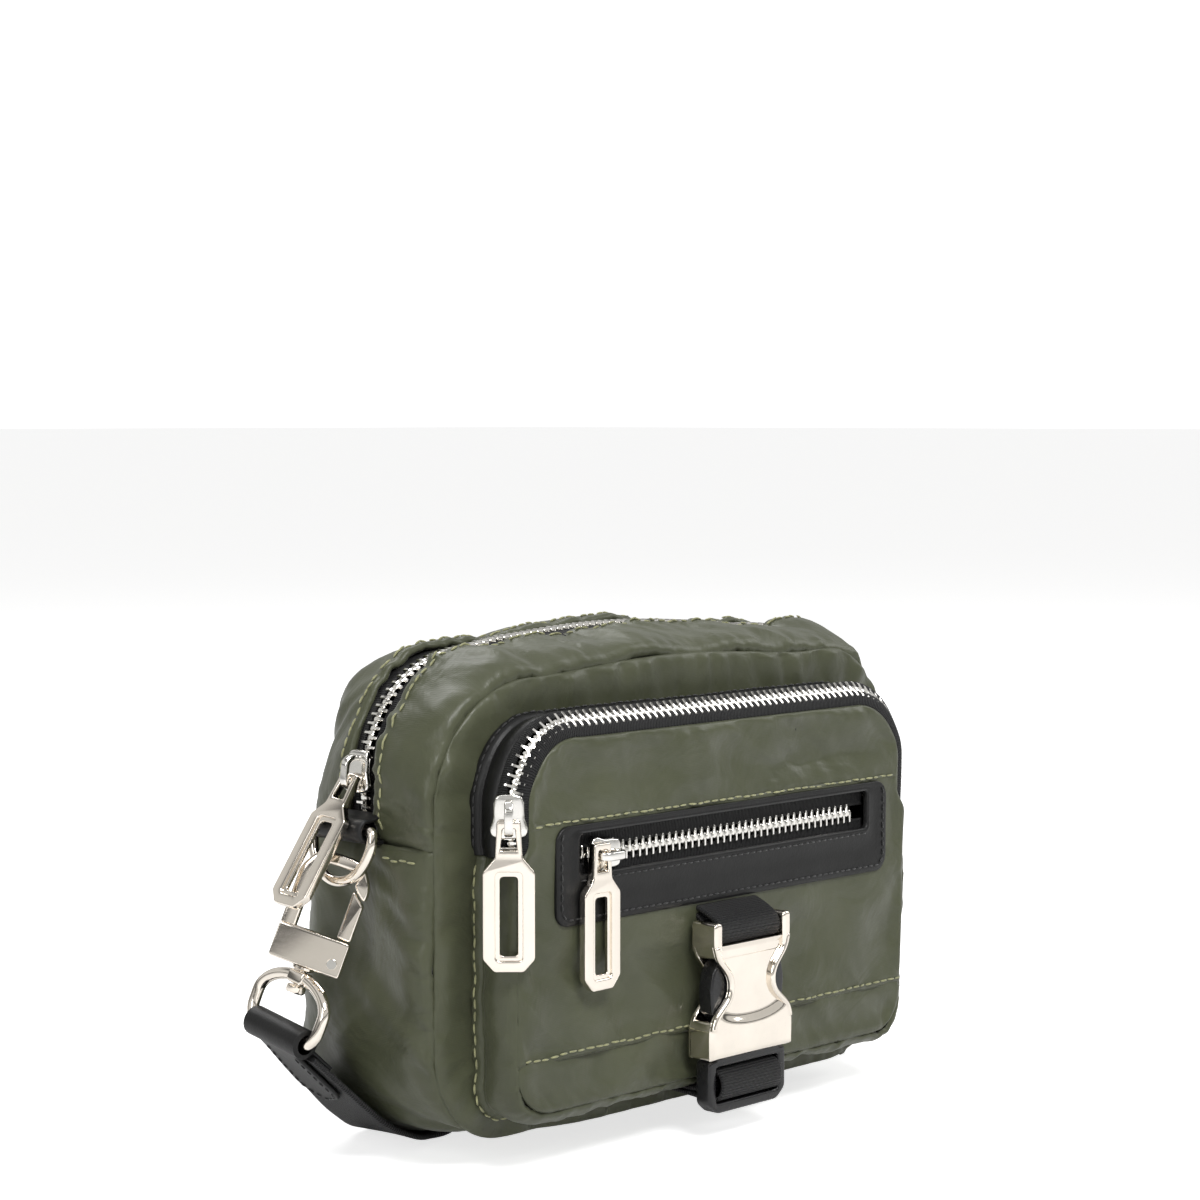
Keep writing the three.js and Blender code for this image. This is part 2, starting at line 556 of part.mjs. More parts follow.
function foldedRows() {
  const stops = [];
  const up = new THREE.Vector3(0, 0, 1);
  const add = (x, y) => stops.push({ point: new THREE.Vector3(x, y, EDGE_Z), side: up });
  for (let row = 0; row < ROW_LEFT.length; row += 1) {
    const y = ROW_FIRST_Y + row * ROW_PITCH;
    const toRight = row % 2 === 0;
    const from = toRight ? ROW_LEFT[row] : ROW_RIGHT[row];
    const to = toRight ? ROW_RIGHT[row] : ROW_LEFT[row];
    add(from + (to - from) * 0.1, y);
    add((from + to) / 2, y);
    add(to, y);
    if (row < ROW_LEFT.length - 1) {
      for (let i = 1; i < 5; i += 1) {
        const angle = (-90 + 36 * i) * DEG;
        const out = (ROW_PITCH / 2) * Math.cos(angle) * (toRight ? 1 : -1);
        add(to + out, y + ROW_PITCH / 2 + (ROW_PITCH / 2) * Math.sin(angle));
      }
      add(to, y + ROW_PITCH);
    }
  }
  return stops;
}

const strapStops = [...smoothStops(leftEnd, 2), ...foldedRows(), ...smoothStops(rightEnd, 2)];
const strapFrames = framesAlong(strapStops);
piece("strap_webbing", ribbon(strapFrames, WEBBING_WIDTH, WEBBING_THICK), webbing);

// The leather tab is a sleeve round the ring's bar, with a tongue outside the webbing and a
// shorter one inside it. Both start inside the sleeve's wall.
const TAB_THICK = 1.2;
const tabRise = WEBBING_THICK / 2 + 0.75 + TAB_THICK / 2;
const BAR_Z = -7.65;
const sleeve = cutFrom(
  new THREE.CylinderGeometry(4, 4, 22.4, 14).rotateZ(90 * DEG),
  new THREE.CylinderGeometry(2.6, 2.6, 30, 12).rotateZ(90 * DEG),
).translate(0, 0, BAR_Z).applyMatrix4(ringPlace);
const tongueRoot = { ...strapFrames[0] };
tongueRoot.point = tongueRoot.point.clone().addScaledVector(tongueRoot.along, -2.6);
const tongueFrames = [tongueRoot, ...strapFrames.slice(0, 5)];
const tongue = ribbon(tongueFrames, 16, TAB_THICK, tabRise);
const backing = ribbon(tongueFrames.slice(0, 3), 22, TAB_THICK, -tabRise);
pair("strap_tab", joined(sleeve, tongue, backing), leather);

// ---- side-release buckle ----

const BUCKLE_FRONT = -56.4;
const BUCKLE_REAR = -47.2;
const MOUTH_Z = 22.7;
const shell = (points) => [...outlineOf(points), ...outlineOf(points.map(([x, z]) => [-x, z]).reverse())];
const housingOutline = shell([
  [16.9, MOUTH_Z], [16.9, 31], [15.4, 34.5], [10.6, 39], [9.5, 42.6], [10.6, 46], [14.4, 50.5],
  [15.8, 54], [15.8, 60.5], [12.9, 60.5], [12.9, 52],
]);
const housingBar = box(-13.5, 13.5, -53.2, -50.6, 56, 58.4);
const housing = joined(
  cutFrom(
    plate(housingOutline, BUCKLE_FRONT, BUCKLE_REAR),
    box(-13.2, 13.2, -54.8, -48.8, MOUTH_Z - 1, 50.2),
    box(-18, 18, -54.8, -48.8, 33.2, 50.2),
  ),
  housingBar,
);
piece("buckle_housing", housing, champagne);

const ARM_FRONT = -54.4;
const ARM_REAR = -49.2;
const PRONG_X = 10;
const PRONG_Z = 27.5;
const frameOutline = shell([[13.2, 7.5], [16, 10], [16, 22.3], [12.6, 22.3], [12.6, 25.6]]);
const frameWindow = outlineOf([[-12.9, 10.4], [12.9, 10.4], [12.9, 20.2], [-12.9, 20.2]]);
const frame = joined(
  plate(frameOutline, ARM_FRONT, ARM_REAR, [frameWindow]),
  box(-13.2, 13.2, -53, -50.6, 13.8, 16.2),
  box(-1.8, 1.8, ARM_FRONT, ARM_REAR, 24, 46),
);
piece("buckle_frame", frame, plastic);
const prong = plate(outlineOf([
  [8.4, 25.9], [11.6, 25.9], [11.8, 33.2], [14.6, 35.2], [15.2, 42], [14.2, 47], [11.4, 49.8], [8.4, 49.8],
]), ARM_FRONT, ARM_REAR);
piece("buckle_prong_right", prong, plastic);
piece("buckle_prong_left", mirrored(prong), plastic);

// Webbing loops, drawn as a side profile in Y and Z and given the webbing's width along X.
function profileAcross(points, hole, half) {
  const shape = holedShape(outlineOf(points), [outlineOf(hole)]);
  const geometry = new THREE.ExtrudeGeometry(shape, { depth: 2 * half, bevelEnabled: false });
  geometry.translate(0, 0, -half);
  return geometry.applyMatrix4(new THREE.Matrix4().makeBasis(
    new THREE.Vector3(0, 1, 0), new THREE.Vector3(0, 0, 1), new THREE.Vector3(1, 0, 0),
  ));
}
const upperLoop = profileAcross(
  [[-45.3, 64.1], [-47, 64.1], [-54.8, 59.6], [-55.2, 56], [-53.9, 54.1], [-50.1, 54.1], [-48.9, 55.4],
    [-48.7, 58.6], [-45.3, 61.4]],
  [[-53.7, 55.5], [-50.3, 55.5], [-50.1, 58.9], [-52, 59.4], [-53.7, 58.9]],
  WEBBING_WIDTH / 2,
);
piece("upper_webbing_loop", upperLoop, webbing);
const lowerLoop = profileAcross(
  [[-54, 17.6], [-54.9, 16], [-54.9, 13.4], [-53.4, 11.9], [-49.4, 11.2], [-29, 11.2], [-29, 12.6],
    [-44, 12.6], [-48.8, 13.4], [-48.8, 16.6], [-50, 17.8]],
  [[-53.4, 16.5], [-50.2, 16.5], [-50.2, 13.5], [-53.4, 13.5]],
  WEBBING_WIDTH / 2,
);
piece("lower_webbing_loop", lowerLoop, webbing);

export default bag;
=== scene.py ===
import math
import bmesh
import bpy
import numpy as np
from mathutils import Matrix, Vector, noise
from mathutils.bvhtree import BVHTree


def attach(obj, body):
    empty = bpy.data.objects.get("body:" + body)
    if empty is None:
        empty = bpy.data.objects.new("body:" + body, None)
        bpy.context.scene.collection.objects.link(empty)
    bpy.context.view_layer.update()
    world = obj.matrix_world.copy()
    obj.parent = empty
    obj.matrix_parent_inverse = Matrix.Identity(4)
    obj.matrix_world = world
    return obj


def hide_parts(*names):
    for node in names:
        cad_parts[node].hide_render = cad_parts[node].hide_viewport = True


# A small crossbody purse. Lengths below are in millimetres and become metres when a mesh is made.
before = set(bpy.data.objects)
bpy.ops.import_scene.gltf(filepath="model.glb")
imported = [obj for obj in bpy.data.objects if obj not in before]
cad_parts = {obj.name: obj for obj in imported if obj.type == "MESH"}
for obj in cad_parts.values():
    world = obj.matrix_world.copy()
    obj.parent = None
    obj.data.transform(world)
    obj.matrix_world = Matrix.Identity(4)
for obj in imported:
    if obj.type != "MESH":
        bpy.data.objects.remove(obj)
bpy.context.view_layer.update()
MM = 0.001
SIDES = (("left", -1), ("right", 1))


# ---------- camera, light and floor ----------

CAMERA_AT = (-0.5911, -0.5638, 0.1978)
CAMERA_AZIMUTH = 46.24
CAMERA_PITCH = 3.67
LAMP_AIM = Vector((0, 0, 0.07))
# name, azimuth, elevation, distance, size, power
LAMPS = (
    ("key", -20, 50, 1.3, (0.55, 0.45), 12.0), ("fill", -75, 25, 1.4, (0.4, 0.7), 3.4),
    ("side", 70, 35, 1.5, (0.5, 0.8), 4.0), ("rim", 165, 55, 1.5, (1.1, 0.4), 8.0),
)
# Height on the room's dome, from 0 below to 1 above, and how bright the metal sees it there.
ROOM_BANDS = (
    (0.5, 0.9), (0.56, 1.0), (0.578, 0.16), (0.612, 0.16), (0.635, 1.0), (0.78, 0.9), (0.82, 0.25),
    (0.87, 0.3), (0.9, 1.1),
)


def link(name, data):
    """A new object in the scene."""
    obj = bpy.data.objects.new(name, data)
    bpy.context.scene.collection.objects.link(obj)
    return obj


def add_node(tree, kind, inputs=None, **settings):
    """A shader node; each of its inputs takes a constant or another node's output."""
    made = tree.nodes.new(f"ShaderNode{kind}")
    for name, value in settings.items():
        setattr(made, name, value)
    for socket, value in (inputs or {}).items():
        if isinstance(value, bpy.types.NodeSocket):
            tree.links.new(value, made.inputs[socket])
        else:
            made.inputs[socket].default_value = value
    return made


def color_ramp(tree, fac, stops):
    made = add_node(tree, "ValToRGB", {0: fac})
    ramp = made.color_ramp
    ends = (ramp.elements[0], stops[0]), (ramp.elements[1], stops[-1])
    for element, (place, color) in ends:
        element.position = place
        element.color = (*color, 1)
    for place, color in stops[1:-1]:
        ramp.elements.new(place).color = (*color, 1)
    return made.outputs["Color"]


def make_camera():
    data = bpy.data.cameras.new("camera")
    data.lens = 85.7
    data.sensor_width = 36
    camera = link("camera", data)
    turn = Matrix.Rotation(math.radians(-CAMERA_AZIMUTH), 4, "Z")
    tilt = Matrix.Rotation(math.radians(90 - CAMERA_PITCH), 4, "X")
    camera.matrix_world = Matrix.Translation(CAMERA_AT) @ turn @ tilt
    bpy.context.scene.camera = camera


def area_light(name, azimuth, elevation, distance, size, power):
    data = bpy.data.lights.new(name, "AREA")
    data.shape = "RECTANGLE"
    data.size, data.size_y = size
    data.energy = power
    lamp = link(name, data)
    a, e = math.radians(azimuth), math.radians(elevation)
    away = Vector((math.sin(a) * math.cos(e), -math.cos(a) * math.cos(e), math.sin(e)))
    lamp.location = away * distance + LAMP_AIM
    lamp.rotation_euler = away.to_track_quat("Z", "Y").to_euler()


def make_studio():
    """White paper for the camera, and a soft room with darker bands for the light and the metal."""
    scene = bpy.context.scene
    scene.view_settings.view_transform = "Standard"
    scene.world = bpy.data.worlds.new("studio")
    scene.world.use_nodes = True
    tree = scene.world.node_tree
    tree.nodes.clear()
    where = add_node(tree, "TexCoord").outputs["Generated"]
    upward = add_node(tree, "SeparateXYZ", {0: where}).outputs["Z"]
    height = add_node(tree, "Math", {0: upward, 1: 0.5, 2: 0.5}, operation="MULTIPLY_ADD").outputs[0]
    bands = [(place, (level, level, level * 0.98)) for place, level in ROOM_BANDS]
    glow = color_ramp(tree, height, [(0.47, (0.8, 0.8, 0.8)), *bands, (0.95, (1, 1, 1))])
    rays = add_node(tree, "LightPath").outputs
    level = add_node(tree, "MapRange", {"Value": rays["Is Glossy Ray"], "To Min": 0.27, "To Max": 0.68})
    room = add_node(tree, "Background", {"Color": glow, "Strength": level.outputs[0]})
    paper = add_node(tree, "Background", {"Color": (1, 1, 1, 1), "Strength": 1.15})
    inputs = {0: rays["Is Camera Ray"], 1: room.outputs[0], 2: paper.outputs[0]}
    mix = add_node(tree, "MixShader", inputs)
    add_node(tree, "OutputWorld", {0: mix.outputs[0]})
    for lamp in LAMPS:
        area_light(*lamp)


def make_floor():
    """Paper so bright that it meets the background without a horizon."""
    side = 40.0
    mesh = bpy.data.meshes.new("floor")
    corners = [(-side, -side, 0), (side, -side, 0), (side, side, 0), (-side, side, 0)]
    mesh.from_pydata(corners, [], [(0, 1, 2, 3)])
    material, shader = principled("floor_paper", (0.93, 0.93, 0.93), 0.9)
    shader.inputs["Specular IOR Level"].default_value = 0.1
    shader.inputs["Emission Color"].default_value = (1, 1, 1, 1)
    tree = material.node_tree
    seen = add_node(tree, "LightPath").outputs["Is Camera Ray"]
    level = add_node(tree, "MapRange", {"Value": seen, "To Min": 0.1, "To Max": 0.72})
    tree.links.new(level.outputs[0], shader.inputs["Emission Strength"])
    mesh.materials.append(material)
    link("floor", mesh)


# ---------- materials ----------

def principled(name, color, roughness, metallic=0.0):
    material = bpy.data.materials.new(name)
    material.use_nodes = True
    shader = material.node_tree.nodes["Principled BSDF"]
    shader.inputs["Base Color"].default_value = (*color, 1)
    shader.inputs["Roughness"].default_value = roughness
    shader.inputs["Metallic"].default_value = metallic
    return material, shader


class Nodes:
    """Short ways to add nodes to one material."""

    def __init__(self, material, space="Object"):
        self.tree = material.node_tree
        self.shader = self.tree.nodes["Principled BSDF"]
        self.where = self.tree.nodes.new("ShaderNodeTexCoord").outputs[space]

    def stretched(self, scale):
        return add_node(self.tree, "Mapping", {"Scale": scale, "Vector": self.where}).outputs[0]

    def noise(self, scale, detail=3, rough=0.5, distort=0.0, where=None):
        inputs = {"Scale": scale, "Detail": detail, "Roughness": rough, "Distortion": distort}
        inputs["Vector"] = where or self.where
        return add_node(self.tree, "TexNoise", inputs).outputs["Fac"]

    def wave(self, scale, direction):
        inputs = {"Scale": scale, "Distortion": 0.0, "Vector": self.where}
        return add_node(self.tree, "TexWave", inputs, bands_direction=direction).outputs["Fac"]

    def cells(self, scale):
        return add_node(self.tree, "TexVoronoi", {"Scale": scale, "Vector": self.where}).outputs["Distance"]

    def math(self, kind, a, b):
        return add_node(self.tree, "Math", {0: a, 1: b}, operation=kind).outputs[0]

    def between(self, fac, low, high, dark, light):
        """From a dark color at fac = low to a light one at fac = high."""
        return color_ramp(self.tree, fac, ((low, dark), (high, light)))

    def span(self, fac, low_value, high_value):
        inputs = {"Value": fac, "To Min": low_value, "To Max": high_value}
        return add_node(self.tree, "MapRange", inputs).outputs[0]

    def bump(self, height, strength, distance, over=None):
        inputs = {"Strength": strength, "Distance": distance, "Height": height}
        if over:
            inputs["Normal"] = over
        return add_node(self.tree, "Bump", inputs).outputs[0]

    def to(self, output, socket):
        self.tree.links.new(output, self.shader.inputs[socket])


def grey(level, blue=None):
    return (level, level, level if blue is None else blue)


def times(color, factor):
    return tuple(c * factor for c in color)


def nylon():
    material, shader = principled("nylon", (0.07, 0.075, 0.045), 0.38)
    shader.inputs["Sheen Weight"].default_value = 0.12
    shader.inputs["Sheen Roughness"].default_value = 0.4
    shader.inputs["Specular IOR Level"].default_value = 0.36
    n = Nodes(material)
    cloudy = n.noise(38, 4, 0.6)
    n.to(n.between(cloudy, 0.25, 0.75, (0.056, 0.061, 0.034), (0.082, 0.088, 0.051)), "Base Color")
    n.to(n.span(n.noise(90, 3), 0.33, 0.43), "Roughness")
    weave = n.bump(n.math("MULTIPLY", n.wave(700, "X"), n.wave(700, "Z")), 0.1, 0.0002)
    crinkle = n.bump(n.noise(170, 4, 0.62, 0.8), 0.13, 0.0009, weave)
    n.to(n.bump(n.noise(46, 3, 0.55, 1.2), 0.3, 0.0026, crinkle), "Normal")
    return material


def leather():
    material, shader = principled("faux_leather", grey(0.007), 0.46)
    shader.inputs["Specular IOR Level"].default_value = 0.32
    n = Nodes(material)
    n.to(n.between(n.noise(60, 4), 0.3, 0.8, grey(0.005), grey(0.010)), "Base Color")
    n.to(n.span(n.noise(90, 3), 0.36, 0.52), "Roughness")
    grain = n.bump(n.cells(1400), 0.22, 0.00012)
    n.to(n.bump(n.noise(220, 4, 0.6), 0.25, 0.0004, grain), "Normal")
    return material


def ribbed(name, color, scale, rough):
    """Woven strip: fine ribs across it and a twill along it, laid out by the strip's own UV map."""
    material, shader = principled(name, color, rough)
    shader.inputs["Sheen Weight"].default_value = 0.03
    shader.inputs["Specular IOR Level"].default_value = 0.3
    n = Nodes(material, "UV")
    ribs = n.wave(scale, "X")
    threads = n.wave(scale * 2.3, "Y")
    twill = n.bump(n.wave(scale * 0.8, "DIAGONAL"), 0.25, 0.0002)
    shade = n.math("ADD", n.math("MULTIPLY", ribs, 0.6), n.math("MULTIPLY", threads, 0.4))
    n.to(n.between(shade, 0.2, 0.8, times(color, 0.55), times(color, 1.5)), "Base Color")
    n.to(n.bump(ribs, 0.8, 0.0004, n.bump(threads, 0.35, 0.00025, twill)), "Normal")
    return material


def plated(name, color, rough):
    """Polished plating with faint hairlines and handling marks."""
    material, _ = principled(name, color, rough, 1.0)
    n = Nodes(material)
    hair = n.noise(60, 2, 0.5, 0, n.stretched((1, 1, 14)))
    smears = n.noise(75, 4, 0.65)
    n.to(n.span(n.math("MULTIPLY", hair, smears), rough * 0.6, rough * 2.1), "Roughness")
    n.to(n.between(smears, 0.35, 0.65, times(color, 0.93), color), "Base Color")
    n.to(n.bump(n.noise(900, 3), 0.03, 0.00005), "Normal")
    return material


def plastic():
    material, _ = principled("moulded_plastic", grey(0.008, 0.009), 0.24)
    n = Nodes(material)
    n.to(n.between(n.noise(200, 3), 0.3, 0.8, grey(0.006, 0.007), grey(0.013, 0.014)), "Base Color")
    n.to(n.span(n.noise(150, 3), 0.18, 0.34), "Roughness")
    n.to(n.bump(n.noise(1500, 2), 0.08, 0.00006), "Normal")
    return material


def thread(name, color):
    material, shader = principled(name, color, 0.6)
    shader.inputs["Sheen Weight"].default_value = 0.3
    n = Nodes(material)
    n.to(n.between(n.noise(900, 2), 0.3, 0.7, times(color, 0.6), color), "Base Color")
    n.to(n.bump(n.wave(1500, "DIAGONAL"), 0.5, 0.0001), "Normal")
    return material


def lining_cloth():
    material, _ = principled("lining_cloth", grey(0.02, 0.019), 0.7)
    n = Nodes(material)
    weave = n.math("MULTIPLY", n.wave(450, "X"), n.wave(450, "Z"))
    n.to(n.between(n.noise(80, 3), 0.3, 0.7, grey(0.014, 0.013), grey(0.03, 0.028)), "Base Color")
    n.to(n.bump(weave, 0.3, 0.0003, n.bump(n.noise(60, 3), 0.4, 0.002)), "Normal")
    return material


NYLON = nylon()
LEATHER = leather()
WEBBING = ribbed("webbing", grey(0.007, 0.0075), 420, 0.5)
TAPE = ribbed("zip_tape", grey(0.006, 0.0065), 520, 0.65)
CHROME = plated("zip_metal", (0.86, 0.84, 0.80), 0.13)
CHAMPAGNE = plated("hardware", (0.90, 0.83, 0.74), 0.09)
PLASTIC = plastic()
LINING = lining_cloth()
CONTRAST = thread("contrast_thread", (0.38, 0.38, 0.19))
DARK_THREAD = thread("dark_thread", grey(0.008))


# ---------- mesh helpers ----------

def settle(obj, body, slot, *nodes):
    """The piece rides on a body and stands for CAD nodes; slot is not used."""
    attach(obj, body)
    if nodes:
        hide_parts(*nodes)
    return obj


def outward(obj, weld=None):
    """Turns every face outwards, after joining points that are as near as weld."""
    work = bmesh.new()
    work.from_mesh(obj.data)
    if weld:
        bmesh.ops.remove_doubles(work, verts=work.verts, dist=weld)
    bmesh.ops.recalc_face_normals(work, faces=work.faces)
    work.to_mesh(obj.data)
    work.free()
    return obj


def placed(obj, place):
    """The object with its mesh moved by a placement in millimetres."""
    obj.data.transform(Matrix.Scale(MM, 4) @ place @ Matrix.Scale(1 / MM, 4))
    return obj


def make(name, points, faces, material, uvs=None, sharp=None):
    mesh = bpy.data.meshes.new(name)
    mesh.from_pydata((np.asarray(points, float) * MM).tolist(), [], [tuple(map(int, f)) for f in faces])
    mesh.materials.append(material)
    mesh.polygons.foreach_set("use_smooth", [True] * len(mesh.polygons))
    if uvs is not None:
        layer = mesh.uv_layers.new(name="UVMap")
        corners = np.zeros(len(mesh.loops), dtype=np.int32)
        mesh.loops.foreach_get("vertex_index", corners)
        layer.data.foreach_set("uv", (np.asarray(uvs, float) * MM)[corners].ravel())
    if sharp:
        mesh.set_sharp_from_angle(angle=math.radians(sharp))
    return link(name, mesh)


def grid_faces(rows, columns, wrap=False):
    """Quads over a grid of rows and columns; wrap joins the last column to the first."""
    faces = []
    for r in range(rows - 1):
        for c in range(columns - (0 if wrap else 1)):
            d = (c + 1) % columns
            faces.append((r * columns + c, r * columns + d, (r + 1) * columns + d, (r + 1) * columns + c))
    return faces


def turned_over(faces):
    return [tuple(reversed(face)) for face in faces]


def tube_faces(rows, columns):
    """Faces round a row of rings of points, with a flat face at each end."""
    ends = [tuple(reversed(range(columns))), tuple(range((rows - 1) * columns, rows * columns))]
    return grid_faces(rows, columns, wrap=True) + ends


def shifted(faces, start):
    return [tuple(start + i for i in face) for face in faces]


def cloth(name, grid, material, uvs, wrap=False, cap=False, thick=0.9, flip=False):
    """A sheet over a grid of points, given a thickness on its inner side."""
    rows, columns = grid.shape[:2]
    faces = grid_faces(rows, columns, wrap)
    if cap:
        faces.append(tuple(range((rows - 1) * columns, rows * columns)))
    if flip:
        faces = turned_over(faces)
    obj = make(name, grid.reshape(-1, 3), faces, material, uvs.reshape(-1, 2))
    if thick:
        solid = obj.modifiers.new("thickness", "SOLIDIFY")
        solid.thickness = thick * MM
        solid.offset = -1
    return obj


def catmull(rows, steps):
    """Catmull-Rom with a fixed number of steps between neighbouring rows."""
    rows = np.asarray(rows, float)
    padded = np.vstack([2 * rows[0] - rows[1], rows, 2 * rows[-1] - rows[-2]])
    fine = []
    for i in range(len(rows) - 1):
        a, b, c, d = padded[i : i + 4]
        for t in np.arange(steps) / steps:
            square, cube = 2 * a - 5 * b + 4 * c - d, 3 * b - a - 3 * c + d
            fine.append(0.5 * (2 * b + (c - a) * t + square * t**2 + cube * t**3))
    return np.array([*fine, rows[-1]])


def lengths(points):
    steps = np.linalg.norm(np.diff(points, axis=0), axis=1)
    return np.concatenate([[0], np.cumsum(steps)])


def resample(points, count, along=None):
    """Rows evenly spaced by the length along them, or along the points given instead."""
    along = lengths(points if along is None else along)
    wanted = np.linspace(0, along[-1], count)
    return np.stack([np.interp(wanted, along, points[:, k]) for k in range(points.shape[1])], 1)


def spline(rows, count):
    """A smooth curve through rows of numbers, evenly spaced."""
    return resample(catmull(rows, 16), count)


def unit(rows):
    return rows / np.linalg.norm(rows, axis=1, keepdims=True)


def square_to(side, along):
    """Directions turned until they are square to others."""
    return unit(side - along * (side * along).sum(1, keepdims=True))


def upright(flat, y):
    """Points in X and Z, stood up at depth y."""
    return np.stack([flat[:, 0], np.broadcast_to(y, len(flat)), flat[:, 1]], 1)


def smooth(t):
    t = np.clip(t, 0, 1)
    return t * t * (3 - 2 * t)


def hump(x, centre, width):
    return np.exp(-(((x - centre) / width) ** 2))


def quarter(t):
    """A quarter circle's rise, from 0 at t = 0 to 1 at t = 1."""
    return 1 - np.sqrt(np.clip(1 - t**2, 0, 1))


def ripple(a, b, seed):
    """Smooth noise from -1 to 1 over two arrays."""
    a, b = np.broadcast_arrays(a, b)
    flat = [noise.noise(Vector((x, y, seed))) for x, y in zip(a.ravel(), b.ravel())]
    return np.array(flat).reshape(a.shape) * 1.6


def arch(shape, seam, counts, upper=True):
    """A path round the upper or the lower part of a rounded box, from its left side to its right.

    shape is half width, base, top, base radius and top radius; seam is the height where the path
    starts. Gives the points and the outward normals in X and Z."""
    half, base, top, base_r, top_r = shape
    radius, edge, sign = (top_r, top, 1) if upper else (base_r, base, -1)
    side, corner, middle = counts
    x0, z0 = half - radius, edge - sign * radius
    t = np.arange(side) / side
    left = np.stack([np.full(side, -half), seam + (z0 - seam) * t], 1)
    angles = math.pi - sign * math.pi / 2 * np.arange(corner) / corner
    bend = np.stack([-x0 + radius * np.cos(angles), z0 + radius * np.sin(angles)], 1)
    m = np.arange(middle) / middle
    flat = np.stack([-x0 + 2 * x0 * m, np.full(middle, edge)], 1)
    half_way = np.vstack([left, bend, flat])
    points = np.vstack([half_way, [(x0, edge)], half_way[: side + corner][::-1] * (-1, 1)])
    turned = np.stack([np.cos(angles), np.sin(angles)], 1)
    facing = np.vstack([np.tile((-1, 0), (side, 1)), turned, np.tile((0, sign), (middle, 1))])
    normals = np.vstack([facing, [(0, sign)], facing[: side + corner][::-1] * (-1, 1)])
    return points, normals


def band(stations, seam, counts, radii, upper, across):
    """Points, normals and UVs of a strip whose cross-section is a list of (y, half, base, top)."""
    rows, facing = [], []
    reference = max(s[1] for s in stations)
    for y, half, base, top in spline(stations, across):
        inset = reference - half
        shape = (half, base, top, max(radii[0] - inset, 2), max(radii[1] - inset, 2))
        points, normals = arch(shape, seam, counts, upper)
        rows.append(upright(points, y))
        facing.append(upright(normals, 0))
    grid, facing = np.array(rows), np.array(facing)
    middle = grid[across // 2]
    s = np.tile(lengths(middle), (across, 1))
    t = np.tile(lengths(grid[:, len(middle) // 2])[:, None], (1, grid.shape[1]))
    return grid, facing, np.stack([s, t], 2)


def ends_tucked(uvs, depth, reach):
    """How far the two ends of a strip dip where they meet the side seams."""
    s = uvs[..., 0]
    nearest = np.minimum(s, s.max() - s)
    return -depth * np.exp(-((nearest / reach) ** 2))


def rucked(uvs, seams, seed, broad=0.9, pucker=0.45):
    """Soft folds over a strip and tight puckers beside its sewn edges, given as UV distances."""
    s, t = uvs[..., 0], uvs[..., 1]
    near = np.zeros_like(t)
    for edge in seams:
        near = np.maximum(near, np.exp(-np.abs(t - edge) / 4.5))
    folds = broad * ripple(s / 21 + t / 30, t / 19, seed)
    ridge = 0.5 - np.sqrt(ripple(s / 12 + t / 15, t / 36 - s / 60, seed + 7) ** 2 + 0.03)
    fine = 0.5 - np.sqrt(ripple(s / 6.5 - t / 12, t / 17, seed + 11) ** 2 + 0.04)
    gather = ripple(s / 3.8, t / 16, seed + 3) + 0.5 * ripple(s / 2.1, t / 10, seed + 4)
    return folds + 0.8 * broad * ridge + 0.16 * broad * fine + pucker * near * gather


# ---------- stitches ----------

def stitch_line(name, path, onto, slot, pitch=3.2, length=2.7, thick=0.62):
    """Short raised stitches along a path, each laid on the piece that it is sewn to."""
    surface = BVHTree.FromObject(onto, bpy.context.evaluated_depsgraph_get())
    path = np.asarray(path, float)
    fine = resample(path, max(2, int(lengths(path)[-1] / pitch) * 4 + 1))
    points, faces = [], []
    sides = 6
    # Each ring's place along half a stitch, and its share of the thread's radius.
    rings = ((-1.0, 0.15), (-0.75, 0.75), (-0.3, 1.0), (0.3, 1.0), (0.75, 0.75), (1.0, 0.15))
    for k in range(2, len(fine) - 1, 4):
        hit, normal, _, _ = surface.find_nearest(Vector(fine[k]) * MM)
        if hit is None:
            continue
        hit = hit / MM
        along = Vector(fine[k + 1]) - Vector(fine[k - 1])
        along = (along - normal * along.dot(normal)).normalized()
        side = normal.cross(along)
        faces += shifted(tube_faces(len(rings), sides), len(points))
        for place, size in rings:
            lift = 0.12 * (1 - abs(place)) + 0.02
            centre = hit + along * place * length / 2 + normal * (thick * 0.2 + lift)
            for j in range(sides):
                angle = 2 * math.pi * j / sides
                outward_arm = side * math.cos(angle) + normal * math.sin(angle)
                points.append(centre + outward_arm * thick / 2 * size)
    thread_kind = CONTRAST if slot == "nylon" else DARK_THREAD
    return settle(make(name, points, faces, thread_kind), "bag", slot)


# ---------- solid parts ----------

def frame4(origin, x, y, z):
    """A placement from its origin and its three axes."""
    return Matrix((
        (x[0], y[0], z[0], origin[0]),
        (x[1], y[1], z[1], origin[1]),
        (x[2], y[2], z[2], origin[2]),
        (0, 0, 0, 1),
    ))


def soften(points, radius, steps=4):
    """A closed outline with its corners rounded."""
    points = np.asarray(points, float)
    result = []
    for i, corner in enumerate(points):
        before = points[i - 1] - corner
        after = points[(i + 1) % len(points)] - corner
        a = corner + before * min(0.48, radius / max(np.linalg.norm(before), 1e-6))
        b = corner + after * min(0.48, radius / max(np.linalg.norm(after), 1e-6))
        for t in np.linspace(0, 1, steps + 1):
            result.append((1 - t) ** 2 * a + 2 * t * (1 - t) * corner + t**2 * b)
    return np.array(result)


def shell(points):
    """A right half outline and its mirror image."""
    return [*points, *[(-x, z) for x, z in reversed(points)]]


def flipped(outline, sign):
    """An outline, mirrored when sign is -1."""
    return [(x * sign, z) for x, z in outline]


def oblong(x0, x1, z0, z1):
    return [(x0, z0), (x1, z0), (x1, z1), (x0, z1)]


